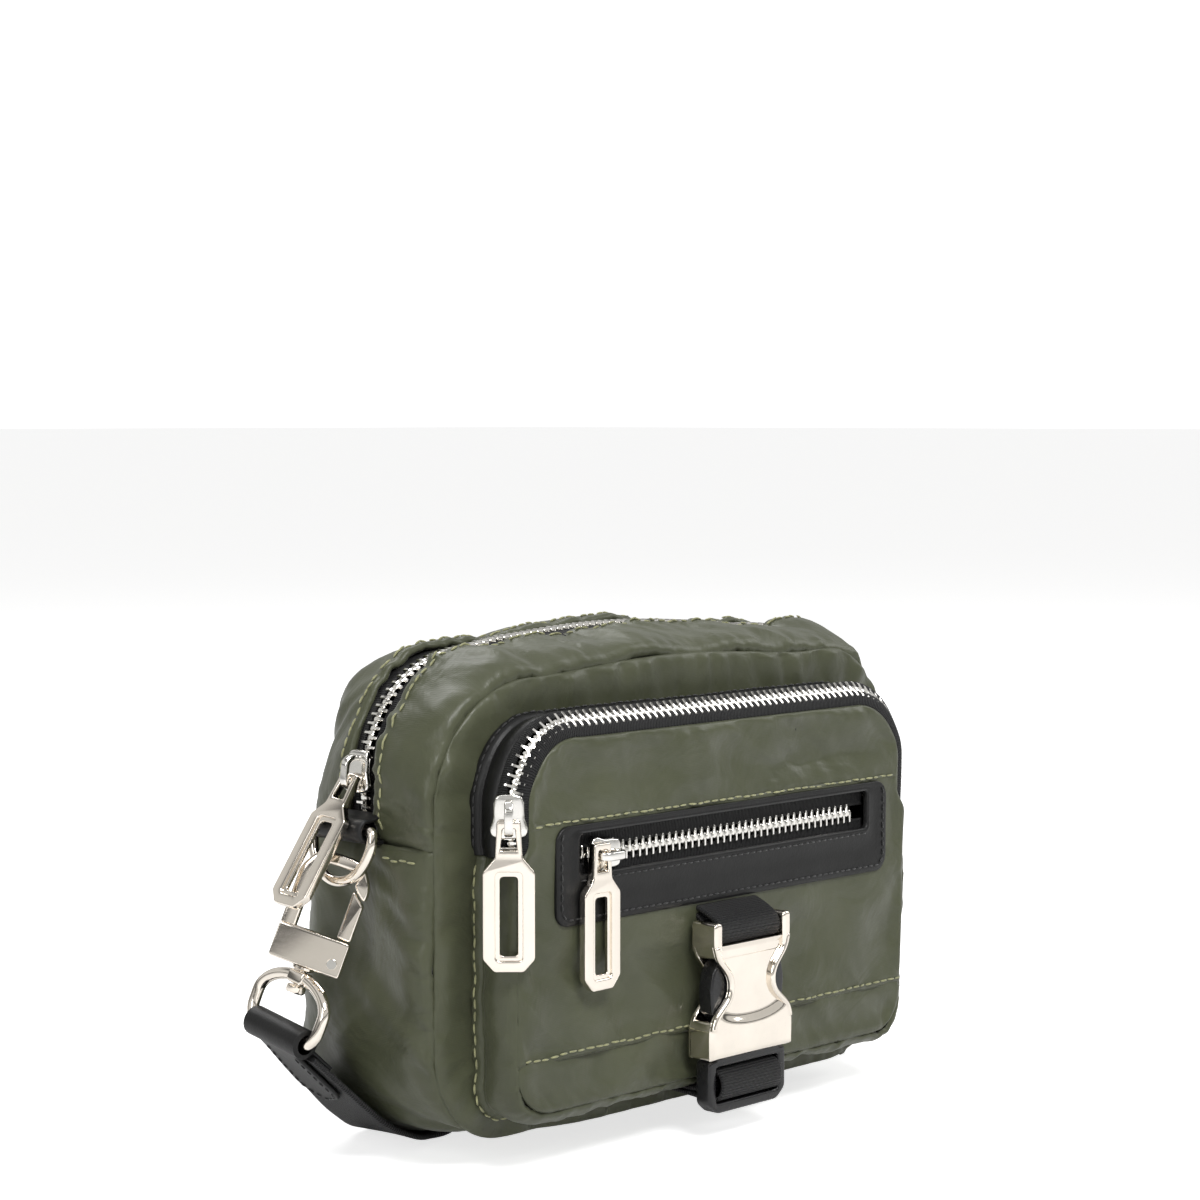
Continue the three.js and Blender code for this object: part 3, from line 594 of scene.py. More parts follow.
def plate(name, outlines, front, back, material, place=None, bevel=0.4, steps=3):
    """A flat part in local X and Z, from y = front to y = back, cut to outlines; the first is outer."""
    curve = bpy.data.curves.new(name, "CURVE")
    curve.dimensions = "2D"
    curve.fill_mode = "BOTH"
    curve.extrude = max((back - front) / 2 - bevel, 0.01)
    curve.bevel_depth = bevel
    curve.bevel_resolution = steps
    curve.offset = -bevel
    for outline in outlines:
        line = curve.splines.new("POLY")
        line.points.add(len(outline) - 1)
        for point, (x, z) in zip(line.points, outline):
            point.co = (x, z, 0, 1)
        line.use_cyclic_u = True
    holder = link(name, curve)
    graph = bpy.context.evaluated_depsgraph_get()
    mesh = bpy.data.meshes.new_from_object(holder.evaluated_get(graph))
    bpy.data.objects.remove(holder)
    bpy.data.curves.remove(curve)
    stand = frame4((0, (front + back) / 2, 0), (1, 0, 0), (0, 0, 1), (0, -1, 0))
    mesh.transform(Matrix.Scale(MM, 4) @ (place or Matrix()) @ stand)
    mesh.materials.clear()
    mesh.materials.append(material)
    obj = outward(link(name, mesh), 1e-6)
    mesh.polygons.foreach_set("use_smooth", [True] * len(mesh.polygons))
    mesh.set_sharp_from_angle(angle=math.radians(40))
    return obj


def merged(name, parts):
    """One object from several that share a material."""
    whole = bmesh.new()
    for part in parts:
        part.data.transform(part.matrix_world)
        whole.from_mesh(part.data)
    mesh = bpy.data.meshes.new(name)
    whole.to_mesh(mesh)
    whole.free()
    mesh.materials.append(parts[0].data.materials[0])
    for part in parts:
        old = part.data
        bpy.data.objects.remove(part)
        bpy.data.meshes.remove(old)
    return link(name, mesh)


def tube(name, points, radius, material, up, closed=True, sides=14, place=None):
    """A round wire along a flat path; up is the normal of the path's plane."""
    points, up = np.asarray(points, float), np.asarray(up, float)
    if closed:
        along = np.roll(points, -1, 0) - np.roll(points, 1, 0)
    else:
        along = np.gradient(points, axis=0)
    side = np.cross(unit(along), up)
    angles = np.linspace(0, 2 * math.pi, sides, endpoint=False)
    ring = side[:, None] * np.cos(angles)[None, :, None] + up * np.sin(angles)[None, :, None]
    grid = points[:, None] + ring * radius
    if closed:
        grid = np.concatenate([grid, grid[:1]])
    faces = grid_faces(len(grid), sides, wrap=True) if closed else tube_faces(len(grid), sides)
    wire = outward(make(name, grid.reshape(-1, 3), faces, material), 1e-7)
    return placed(wire, place) if place else wire


def course(stops):
    """Points, directions, width directions and outer normals along a strip; a stop is six numbers."""
    points, side = stops[:, :3], stops[:, 3:]
    along = unit(np.gradient(points, axis=0))
    side = square_to(side, along)
    return points, along, side, np.cross(along, side)


def ribbon(name, stops, width, thick, material, rise=0.0, taper=None, edge=0.5):
    """A woven or leather strip with rounded edges; taper scales its width at each stop."""
    points, _, side, out = course(stops)
    scale = np.ones(len(points)) if taper is None else taper
    flat = np.linspace(-1, 1, 11)
    reach = width / 2 - edge
    top = [(f * reach, thick / 2) for f in flat]
    rim = [(reach + edge * 0.75, thick * 0.36), (width / 2, 0), (reach + edge * 0.75, -thick * 0.36)]
    under = [(-f * reach, -thick / 2) for f in flat]
    rim_left = [(-a, -b) for a, b in rim]
    section = np.array([*top, *rim, *under, *rim_left])
    grid = points[:, None] + side[:, None] * (section[:, 0] * scale[:, None])[..., None]
    grid = grid + out[:, None] * (section[:, 1] + rise)[None, :, None]
    columns = len(section)
    faces = turned_over(tube_faces(len(grid), columns))
    uvs = np.stack(np.broadcast_arrays(lengths(points)[:, None], section[:, 0][None, :]), 2)
    return make(name, grid.reshape(-1, 3), faces, material, uvs.reshape(-1, 2), sharp=50)


def level_course(path, side=(1, 0, 0)):
    """Stops for a strip whose width runs along X, from (y, z) pairs."""
    fine = catmull([(0, y, z) for y, z in path], 5)
    return np.hstack([fine, np.tile(side, (len(fine), 1))])


# ---------- strap ----------

LEFT_END = (
    (-112.6, 7.6, 32.6, -0.06, -0.98, -0.17), (-104.2, 7.4, 24.2, 0, -0.98, -0.14),
    (-96.6, 7.2, 17.0, 0.03, -0.99, -0.12), (-89.4, 7.6, 10.8, 0.05, -0.99, -0.08),
    (-81.6, 9.2, 6.2, 0.1, -0.99, -0.05), (-73.0, 12.0, 2.6, 0.22, -0.97, -0.02),
    (-64, 14.5, 1.1, 0.5, -0.86, 0), (-56, 21.5, 1.0, 0.82, -0.56, 0),
    (-51, 30, 1.0, 0.98, -0.2, 0), (-49, 39, 1.6, 0.99, 0, 0.08),
    (-47.5, 47.5, 6.2, 0.75, 0, 0.5), (-44.5, 55, 12.4, 0.25, 0, 0.95), (-39.5, 58.2, 13.2, 0, 0, 1),
)
RIGHT_END = (
    (101, 124, 13.2, 0, 0, 1), (108, 120.5, 13.2, 0, 0, 1), (112, 113, 13.2, 0, 0, 1),
    (112.5, 98, 13.2, 0, 0, 1), (109, 81, 13.2, 0, 0, 1), (100, 68, 13.2, 0, 0, 1),
    (86, 58, 12.8, -0.3, 0, 0.95), (70, 48, 6.2, -0.75, 0, 0.5), (58, 40, 1.8, -0.99, 0, 0.08),
    (53, 31, 1.0, -0.98, -0.2, 0),
)
ROW_LEFT = (-36, -34, -34, -14, -14, 8, 8)
ROW_RIGHT = (84, 84, 96, 96, 96, 96, 97)
ROW_PITCH = 11
ROW_FIRST_Y = 58
EDGE_Z = 13.2
WEBBING_WIDTH = 25


def folded_rows():
    """The strap lies on edge behind the bag, folded to and fro."""
    stops = []
    for row, (left, right) in enumerate(zip(ROW_LEFT, ROW_RIGHT)):
        y = ROW_FIRST_Y + row * ROW_PITCH
        outward = 1 if row % 2 == 0 else -1
        start, end = (left, right) if outward > 0 else (right, left)
        for part in (0.1, 0.5, 1.0):
            stops.append((start + (end - start) * part, y))
        if row < len(ROW_LEFT) - 1:
            for i in range(1, 5):
                angle = math.radians(-90 + 36 * i)
                bulge = ROW_PITCH / 2 * math.cos(angle) * outward
                stops.append((end + bulge, y + ROW_PITCH / 2 * (1 + math.sin(angle))))
            stops.append((end, y + ROW_PITCH))
    return [(x, y, EDGE_Z, 0, 0, 1) for x, y in stops]


def strap_stops():
    back = [(-x, y, z, -a, b, c) for x, y, z, a, b, c in reversed(LEFT_END[:8])]
    stops = catmull([*LEFT_END, *folded_rows(), *RIGHT_END, *back], 5)
    for _ in range(4):
        _, _, side, _ = course(stops)
        stops[:, 2] = np.maximum(stops[:, 2], WEBBING_WIDTH / 2 * np.abs(side[:, 2]) + 1.0)
    return stops


def make_strap(hardware):
    stops = strap_stops()
    strap = ribbon("strap", stops, WEBBING_WIDTH, 1.5, WEBBING)
    settle(strap, "bag", "webbing", "strap_webbing")
    with_it = list(hardware)
    for side, end in (("left", stops), ("right", stops[::-1] * (1, 1, 1, -1, -1, -1))):
        with_it += strap_tab(side, end)


# ---------- rings, clips and the strap's leather tabs ----------

SWIVEL = Vector((-113.8, 5.4, 44.5))
CLIP_AXIS = Vector((0.318, -0.16, 0.934)).normalized()
CLIP_YAW = 40
BAR_Z = -7.65


def mirror(place, side):
    return place if side == "left" else Matrix.Scale(-1, 4, (1, 0, 0)) @ place


def ring_place(side, yaw=0):
    across = Vector((0, -1, 0))
    across = (across - CLIP_AXIS * across.dot(CLIP_AXIS)).normalized()
    inward = CLIP_AXIS.cross(across)
    place = frame4(SWIVEL, across, inward, CLIP_AXIS) @ Matrix.Rotation(math.radians(yaw), 4, "Z")
    return mirror(place, side)


def sleeve(name, centre, radius, thick, width, material, place):
    """A leather sleeve round a bar that runs along local X."""
    angles = np.linspace(0, 2 * math.pi, 28, endpoint=False)
    stations = ((-1, -0.5), (-1, 0.2), (-0.97, 0.5), (0.97, 0.5), (1, 0.2), (1, -0.5))
    rows = []
    for s, r in stations:
        reach = radius + thick * r
        rows.append([(s * width / 2, reach * math.cos(a), centre + reach * math.sin(a)) for a in angles])
    obj = make(name, np.array(rows).reshape(-1, 3), grid_faces(6, 28, wrap=True), material, sharp=45)
    return outward(placed(obj, place))


def strap_tab(side, stops):
    """Sleeve round the swivel ring, with a stitched tongue down the outside of the webbing."""
    place = ring_place(side)
    start = stops[0].copy()
    step = (stops[1] - stops[0])[:3]
    step /= np.linalg.norm(step)
    root = [np.concatenate([start[:3] - step * d, start[3:]]) for d in (4.2, 2.8, 1.4)]
    run = np.vstack([root, stops[:11]])
    span = lengths(run[:, :3])
    keep = span <= 25.5
    run, span = run[keep], span[keep]
    tip = np.clip((span[-1] - span) / 6.0, 0, 1)
    taper = np.sqrt(np.clip(1 - (1 - tip) ** 2.2, 0.05, 1))
    tongue = ribbon(f"tab_tongue_{side}", run, 17.5, 1.3, LEATHER, rise=1.6, taper=taper)
    short = run[span <= 13.5]
    backing = ribbon(f"tab_backing_{side}", short, 22, 1.2, LEATHER, rise=-1.5)
    loop = sleeve(f"tab_sleeve_{side}", BAR_Z, 3.3, 1.3, 22.4, LEATHER, place)
    tab = merged(f"tab_{side}", [tongue, backing, outward(loop)])
    settle(tab, "bag", "faux_leather", f"strap_tab_{side}")
    points, _, across, out = course(run)
    rows = []
    for sign in (-1, 1):
        rows.append(points[2:] + across[2:] * (sign * (8.75 * taper[2:] - 1.9))[:, None] + out[2:] * 2.3)
    edge = np.vstack([rows[0], rows[1][::-1]])
    seam = stitch_line(f"tab_stitches_{side}", edge, tab, "faux_leather", 2.6, 1.9, 0.4)
    return [tab, seam]


def half_ellipse(half, drop, centre, steps=20, upward=False):
    sign = -1 if upward else 1
    angles = [math.pi + sign * math.pi * i / steps for i in range(steps + 1)]
    return [(half * math.cos(a), centre + drop * math.sin(a)) for a in angles]


def d_ring(side):
    """Thick round wire: a straight bar through the leather loop and a rounded bow below it."""
    place = mirror(
        Matrix.Translation((-99.6, 0, 90)) @ Matrix.Rotation(math.radians(10), 4, "Y"), side
    )
    bow = half_ellipse(11.6, 12.0, -2, 30)
    outline = [(-11.2, -0.6), *bow[1:-1], (11.2, -0.6), (10.4, 0), (-10.4, 0)]
    path = resample(np.array([(0, y, z) for y, z in [*outline, outline[0]]]), 90)[:-1]
    ring = tube(f"ring_{side}", path, 1.45, CHAMPAGNE, (1, 0, 0), place=place)
    return settle(outward(ring), f"ring_{side}", "hardware", f"d_ring_{side}")


def swivel_ring(side):
    place = ring_place(side)
    corners = [(-13.9, -4.8), (-11.6, BAR_Z), (11.6, BAR_Z), (13.9, -4.8), (14.0, -0.5)]
    bow = half_ellipse(14.0, 7.6, 0, 26, upward=True)[::-1]
    outline = soften([*corners, *bow[1:]], 1.6, 3)
    path = resample(np.array([(x, 0, z) for x, z in [*outline, outline[0]]]), 110)[:-1]
    wire = tube(f"swivel_wire_{side}", path, 1.62, CHAMPAGNE, (0, 1, 0), place=place)
    hub = plate(f"hub_{side}", [soften(oblong(-3.2, 3.2, 5.6, 9.1), 1.2)], -2.0, 2.0, CHAMPAGNE, place, 0.7)
    ring = merged(f"swivel_{side}", [outward(wire), outward(hub)])
    return settle(ring, "bag", "hardware", f"swivel_ring_{side}")


def lathe(name, profile, material, place, sides=28):
    angles = np.linspace(0, 2 * math.pi, sides, endpoint=False)
    grid = np.array([[(r * math.cos(a), r * math.sin(a), z) for a in angles] for r, z in profile])
    obj = make(name, grid.reshape(-1, 3), tube_faces(len(profile), sides), material, sharp=40)
    return outward(placed(obj, place))


def clip(side):
    """Trigger clip: a plain plate, a hook and a sprung gate, on a swivel post."""
    place = ring_place(side, CLIP_YAW)
    hook = soften([
        (-9.75, 18), (-5.6, 18), (-5.6, 34.5), (-3.4, 38.1), (4.6, 38.1), (5.6, 36.8), (5.6, 34.2),
        (9.75, 30.8), (9.75, 35.2), (6.8, 39.8), (4.4, 41.3), (-4.4, 41.3), (-6.8, 39.8), (-9.75, 35.2),
    ], 2.2, 5)
    hook_part = plate(f"hook_{side}", [hook], -1.7, 1.7, CHAMPAGNE, place, 0.75, 4)
    base = soften(oblong(-9.75, 9.75, 10.45, 19.95), 0.9, 5)
    plate_part = plate(f"plate_{side}", [base], -2.15, 2.15, CHAMPAGNE, place, 0.35, 4)
    body = merged(f"clip_{side}", [hook_part, plate_part])
    settle(outward(body), f"clip_{side}", "hardware", f"clip_body_{side}")
    gate_line = soften([(5.75, 20.4), (9.6, 20.4), (9.6, 30.3), (5.75, 33.5)], 0.7, 4)
    gate = plate(f"gate_{side}", [gate_line], -1.5, 1.5, CHAMPAGNE, place, 0.6, 4)
    settle(outward(gate), f"gate_{side}", "hardware", f"clip_gate_{side}")
    flat = place @ Matrix.Translation((7, 0, 13.6)) @ Matrix.Rotation(math.radians(90), 4, "X")
    pin_profile = (
        (0.01, -2.3), (0.7, -2.3), (0.75, -2.18), (0.95, -2.18), (1.0, -2.35), (1.3, -2.35), (1.4, -2.2),
        (1.4, 2.2), (1.3, 2.35), (0.01, 2.35),
    )
    pin = lathe(f"rivet_{side}", pin_profile, CHROME, flat)
    settle(pin, f"clip_{side}", "zip_metal", f"clip_pin_{side}")
    post_profile = (
        (0.01, 3.2), (2.2, 3.2), (2.6, 3.7), (2.6, 4.9), (2.2, 5.3), (1.0, 5.4), (1.0, 9.3), (2.4, 9.4),
        (2.9, 9.8), (2.9, 10.4), (0.01, 10.5),
    )
    post = lathe(f"post_{side}", post_profile, CHAMPAGNE, place)
    settle(post, f"clip_{side}", "hardware", f"swivel_post_{side}")
    return [body, gate, pin, post]


def side_loop(side):
    """Leather loop that holds the D-ring, sewn down against the gusset."""
    cx, cz, radius = 99.6, 90, 2.75
    turn = [math.radians(a) for a in range(75, 295, 20)]
    round_bar = [(-cx + radius * math.cos(a), cz + radius * math.sin(a)) for a in turn]
    upper = [(-94.4, 93.6), (-95.6, 93.3), (-97.3, 92.9)]
    path = [*upper, *round_bar, (-97.4, 87.0), (-95.8, 86.6), (-94.4, 86.6)]
    fine = catmull([(x, 0, z) for x, z in path], 3)
    stops = np.hstack([fine, np.tile((0, 1, 0), (len(fine), 1))])
    if side == "right":
        stops = stops * (-1, 1, 1, 1, 1, 1)
    loop = ribbon(f"loop_{side}", stops, 2 * 9.8, 1.2, LEATHER)
    return settle(outward(loop), "bag", "faux_leather", f"side_loop_{side}")


# ---------- zips ----------

def teeth(name, points, facing, pitch=1.3, half=2.75):
    """Two interleaved rows of metal teeth along a path; facing is the outward normal at each point."""
    count = int(lengths(points)[-1] / pitch)
    both = resample(np.hstack([points, facing]), count, points)
    centre, out = both[:, :3], both[:, 3:]
    along = unit(np.gradient(centre, axis=0))
    out = square_to(out, along)
    across = np.cross(along, out)
    # One tooth: how far across the zip, half its width along it and half its height.
    stations = (
        (-0.95, 0.42, 0.75), (-0.6, 0.72, 1.0), (0.5, 0.74, 1.05), (0.95, 0.5, 1.05),
        (half - 0.35, 0.5, 1.05), (half, 0.36, 0.85),
    )
    corners = ((-1, -0.6), (-0.6, -1), (0.6, -1), (1, -0.6), (1, 0.6), (0.6, 1), (-0.6, 1), (-1, 0.6))
    shape = np.array([[(s, w * a, t * b) for a, b in corners] for s, w, t in stations])
    shape = shape.reshape(-1, 3)
    one = tube_faces(len(stations), len(corners))
    verts, faces = [], []
    for k in range(count):
        sign = 1 if k % 2 else -1
        axes = np.stack([across[k] * sign, along[k] * sign, out[k]])
        verts.append(centre[k] + shape @ axes)
        faces += shifted(one, k * len(shape))
    return make(name, np.concatenate(verts), faces, CHROME, sharp=35)


def arch_path(shape, seam, y, lean=0.0, counts=(8, 24, 30)):
    """Points and normals of a zip's line round the top of a shape; lean tips it towards the front."""
    flat, normals = arch(shape, seam, counts, True)
    return upright(flat, y), upright(normals * math.cos(lean), -math.sin(lean))


def zip_stop(zip_name, side, outline, front, place):
    stop = plate(f"{zip_name}_stop_{side}", [soften(outline, 0.6)], front, 1.2, CHROME, place, 0.4)
    settle(outward(stop), "bag", "zip_metal", f"{zip_name}_zip_stop_{side}")


def slider(name, place):
    """Die-cast slider: a crown with two shoulders, side walls and a humped bail."""
    crown = shell([(1.8, 5.7), (3.5, 5.2), (3.8, 3.2), (3.9, -0.4), (4.9, -3.2), (4.5, -4.9), (2.2, -5.7)])
    top = plate(f"{name}_crown", [soften(crown, 1.0, 4)], -3.3, -1.55, CHROME, place, 0.55, 4)
    wall = [(3.9, 3.8), (4.0, -0.4), (4.95, -3.4), (4.2, -3.8), (3.3, -0.4), (3.2, 3.8)]
    walls = []
    for side, sign in SIDES:
        outline = soften(flipped(wall, sign), 0.3, 2)
        walls.append(plate(f"{name}_wall_{side}", [outline], -2.4, 1.2, CHROME, place, 0.25, 2))
    turned = place @ Matrix.Rotation(math.radians(90), 4, "Z")
    arched = [
        (-3.0, -4.9), (-6.0, -4.9), (-8.05, -3.3), (-8.05, 2.5), (-6.2, 4.4), (-3.0, 4.4), (-3.0, 2.8),
        (-5.3, 2.8), (-6.4, 1.8), (-6.4, -2.7), (-5.6, -3.4), (-3.0, -3.4),
    ]
    bail = plate(f"{name}_bail", [soften(arched, 1.2, 4)], -1.15, 1.15, CHROME, turned, 0.5, 4)
    whole = merged(name, [top, *walls, bail])
    node = name.replace("runner", "slider")
    settle(outward(whole), node, "zip_metal", node)


def pull(name, place):
    """Long chamfered pull with a stepped window and a neck with an eye; left plain."""
    outline = soften(shell([(3.1, 0.9), (3.5, -8.4), (6.7, -12.2), (6.7, -34.7), (3.8, -38)]), 0.7, 4)
    eye = soften(shell([(1.6, -0.9), (2.2, -6.6)]), 0.6, 4)
    window = soften(shell([(3.5, -12.2), (3.5, -35.1)]), 1.3, 4)
    frame_part = plate(f"{name}_frame", [outline, eye, window], -1.2, 1.2, CHAMPAGNE, place, 0.4, 4)
    lip = soften(shell([(4.0, -11.7), (4.0, -35.6)]), 0.6, 3)
    slot = soften(shell([(2.35, -13.4), (2.35, -33.9)]), 1.1, 4)
    step = plate(f"{name}_step", [lip, slot], -0.55, 0.55, CHAMPAGNE, place, 0.2, 3)
    node = name.replace("puller", "pull")
    settle(outward(merged(name, [frame_part, step])), node, "hardware", node)


# ---------- side-release buckle ----------

BUCKLE_FRONT = -56.4
BUCKLE_REAR = -47.2
SIDE = (
    (16.9, 22.7), (16.9, 31), (15.4, 34.5), (10.6, 39), (9.5, 42.6), (10.6, 46), (14.4, 50.5), (15.8, 54),
)


def buckle_edge(z):
    """Half width of the housing at height z."""
    side = spline(SIDE, 60)
    return np.interp(z, side[:, 1], side[:, 0])


def housing_face():
    """The front wall: scooped across its upper two thirds, flat below a smile-shaped crease."""
    rows, columns = 60, 41
    base, top_edge = 22.9, 54.0
    z = np.linspace(base, top_edge, rows)[:, None]
    u = np.linspace(-1, 1, columns)[None, :]
    half = buckle_edge(z)
    x = u * half
    crease = 31.2 + 3.6 * np.abs(u) ** 2.2
    above = smooth((z - crease) / 3.0)
    inner = np.clip((1 - np.abs(u)) * half / 2.2, 0, 1)
    dish = np.sin(inner * math.pi / 2) ** 1.5
    top = np.clip((top_edge - z) / 2.0, 0, 1)
    depth = 1.25 * above * dish * (0.35 + 0.65 * top)
    edge = np.clip(1 - (1 - np.abs(u)) * half / 1.3, 0, 1)
    bottom = np.clip(1 - (z - base), 0, 1)
    round_off = np.maximum(1.35 * quarter(edge), 0.9 * quarter(bottom))
    front = BUCKLE_FRONT + depth + round_off
    rear = np.full_like(front, -54.85)
    sheets = np.stack([np.stack([x + 0 * z, f, z + 0 * x], 2) for f in (front, np.maximum(rear, front))])
    sheet = grid_faces(rows, columns)
    behind = rows * columns
    faces = turned_over(sheet) + shifted(sheet, behind)
    upward = [(r * columns + c, (r + 1) * columns + c) for r in range(rows - 1) for c in (0, columns - 1)]
    sideways = [(r * columns + c, r * columns + c + 1) for c in range(columns - 1) for r in (0, rows - 1)]
    faces += [(a, b, behind + b, behind + a) for a, b in upward + sideways]
    return outward(make("housing_face", sheets.reshape(-1, 3), faces, CHAMPAGNE, sharp=50))


def cross_bar(name, y, z, radius, half, material):
    """A round bar from the left to the right."""
    place = frame4((0, y, z), (0, 0, 1), (0, 1, 0), (1, 0, 0))
    return lathe(name, ((0.01, -half), (radius, -half), (radius, half), (0.01, half)), material, place)


def buckle_housing():
    """The female part: a scooped face, a rear wall, side walls, ears and a bar for the upper webbing."""
    def part(name, outline, front, bevel, steps=5):
        return plate(name, [outline], front, BUCKLE_REAR, CHAMPAGNE, None, bevel, steps)

    parts = [housing_face(), part("housing_rear", soften(shell([*SIDE, (14.2, 54.0)]), 1.0), -48.8, 0.5, 3)]
    wall = [(13.3, 23.0), (16.9, 22.8), (16.9, 31), (15.9, 33.4), (13.3, 33.2)]
    ear = [(12.7, 49.9), (14.2, 50.3), (15.8, 54), (15.8, 60.5), (12.7, 60.5)]
    rim = np.array([(x - 0.9, -55.7, z) for x, z in spline(SIDE[1:], 40)])
    for side, sign in SIDES:
        parts.append(part(f"housing_wall_{side}", soften(flipped(wall, sign), 0.9), -55.6, 0.9))
        parts.append(part(f"housing_ear_{side}", soften(flipped(ear, sign), 1.3), BUCKLE_FRONT, 0.9))
    parts.append(part("housing_bridge", soften(oblong(-13.6, 13.6, 50.2, 54.0), 0.5), -55.4, 0.5, 4))
    parts.append(cross_bar("housing_bar", -51.9, 57.2, 1.2, 13.2, CHAMPAGNE))
    for side, sign in SIDES:
        edge = rim * (sign, 1, 1)
        parts.append(tube(f"housing_rim_{side}", edge, 0.95, CHAMPAGNE, (0, 1, 0), closed=False))
    settle(outward(merged("housing", parts)), "bag", "hardware", "buckle_housing")


def buckle_insert():
    """The male part: a frame with a bar for the lower webbing, a tongue and two prongs."""
    def part(name, outlines, bevel=0.8, steps=4, front=-54.4, back=-49.2):
        return plate(name, outlines, front, back, PLASTIC, None, bevel, steps)

    outline = soften(shell([(12.4, 7.5), (16, 10.4), (16, 22.3), (12.6, 22.4), (12.6, 25.6)]), 1.4, 5)
    ladder = part("ladder", [outline, soften(oblong(-12.9, 12.9, 10.4, 20.2), 0.8)])
    bar = cross_bar("ladder_bar", -51.8, 15, 1.25, 13.1, PLASTIC)
    tongue = part("ladder_tongue", [soften(oblong(-1.8, 1.8, 24, 46), 0.8)], 0.5, 3, -54.0, -49.6)
    settle(outward(merged("male_frame", [ladder, bar, tongue])), "bag", "buckle_plastic", "buckle_frame")
    prong = [
        (8.4, 25.9), (11.6, 25.9), (11.8, 33.2), (14.6, 35.2), (15.3, 42), (14.2, 47), (11.4, 49.8),
        (8.4, 49.8),
    ]
    for side, sign in SIDES:
        arm = part(f"prong_{side}", [soften(flipped(prong, sign), 1.4, 5)])
        settle(arm, f"prong_{side}", "buckle_plastic", f"buckle_prong_{side}")


def buckle_webbing():
    upper = [
        (-45.6, 63.6), (-47.4, 63.1), (-50.8, 61.6), (-53.8, 59.6), (-54.7, 57.2), (-54.0, 55.0),
        (-52.0, 54.6), (-50.2, 55.1), (-49.4, 57.2), (-48.0, 59.8), (-45.6, 61.6),
    ]
    strip = ribbon("upper_loop", level_course(upper), WEBBING_WIDTH, 1.3, WEBBING)
    settle(outward(strip), "bag", "webbing", "upper_webbing_loop")
    lower = [
        (-29.4, 11.9), (-38, 11.8), (-45, 11.4), (-50, 11.0), (-53.8, 11.6), (-55.4, 13.6), (-55.6, 16.0),
        (-54.6, 18.2), (-52.4, 19.1), (-50.2, 18.2), (-49.2, 15.6), (-48.4, 13.6), (-44, 13.1), (-38, 13.2),
    ]
    strip = ribbon("lower_loop", level_course(lower), WEBBING_WIDTH, 1.2, WEBBING)
    settle(outward(strip), "bag", "webbing", "lower_webbing_loop")


# ---------- soft body ----------

def relax(grid):
    """How the filled bag settles: its top bows, one top corner stays squarer, its back draws in."""
    x, y, z = grid[..., 0], grid[..., 1], grid[..., 2]
    back = np.clip((y - 2) / 24, 0, 1.1)
    high_up = smooth((z - 100) / 28)
    draw = 1 - back * (0.03 * hump(z, 62, 24) + 0.092 * hump(z, 108, 20))
    lift = 3.0 * np.clip(1 - (x / 62) ** 2, 0, 1) ** 2 + 3.2 * hump(x, 80, 15)
    waves = 1.6 * hump(x, -66, 12) - 3.8 * hump(x, -42, 9) + 0.4 * hump(x, -16, 16) - 1.8 * hump(x, 40, 30)
    lump = back * waves
    draw = draw - 0.036 * hump(z, 64, 19) * hump(y, 0, 17)
    draw = draw - 0.004 * smooth((x - 60) / 30) * smooth((z - 95) / 25)
    low_front = 1.8 * hump(x, -62, 16) * np.clip(-y / 20, 0, 1) * np.exp(-z / 25)
    low_corner = low_front + 2.5 * back * np.clip((np.abs(x) - 50) / 40, 0, 1) * np.exp(-z / 25)
    return np.stack([x * draw, y, np.maximum(z + (lift + lump) * high_up + low_corner, 0.2)], -1)


def crest(grid):
    """The main zip rides a little proud of the strips along the top."""
    settled = relax(grid)
    settled[..., 2] += 1.4 * smooth((64 - np.abs(grid[..., 0])) / 22) * smooth((grid[..., 2] - 110) / 20)
    return settled


def slump(grid):
    """The pocket's zip sags a little past its first corner."""
    x, z = grid[..., 0], grid[..., 2]
    drop = 2.2 * smooth((x + 80) / 26) * smooth((z - 97) / 12)
    lean = 1.5 * smooth((x - 45) / 30) * smooth((z - 62) / 36)
    lean = lean - 1.1 * smooth((x - 50) / 25) * smooth((56 - z) / 30)
    tuck = 1.0 * smooth((z - 98) / 10) * smooth((-62 - x) / 12)
    return np.stack([x + lean + tuck, grid[..., 1], z - drop], -1)


def strip(
    name, stations, seam, radii, upper, seams, seed, material=NYLON,
    broad=0.9, pucker=0.5, tuck=1.6, across=44, settle_by=relax,
):
    """A gusset strip lofted round the bag, with folds and puckers along its outward normals."""
    counts = (34, 40, 110) if upper else (40, 34, 110)
    grid, facing, uvs = band(stations, seam, counts, radii, upper, across)
    width = uvs[..., 1].max()
    wave = rucked(uvs, [width * s for s in seams], seed, broad, pucker)
    wave = wave + ends_tucked(uvs, tuck, 2.2)
    return cloth(name, settle_by(grid + facing * wave[..., None]), material, uvs, flip=upper)


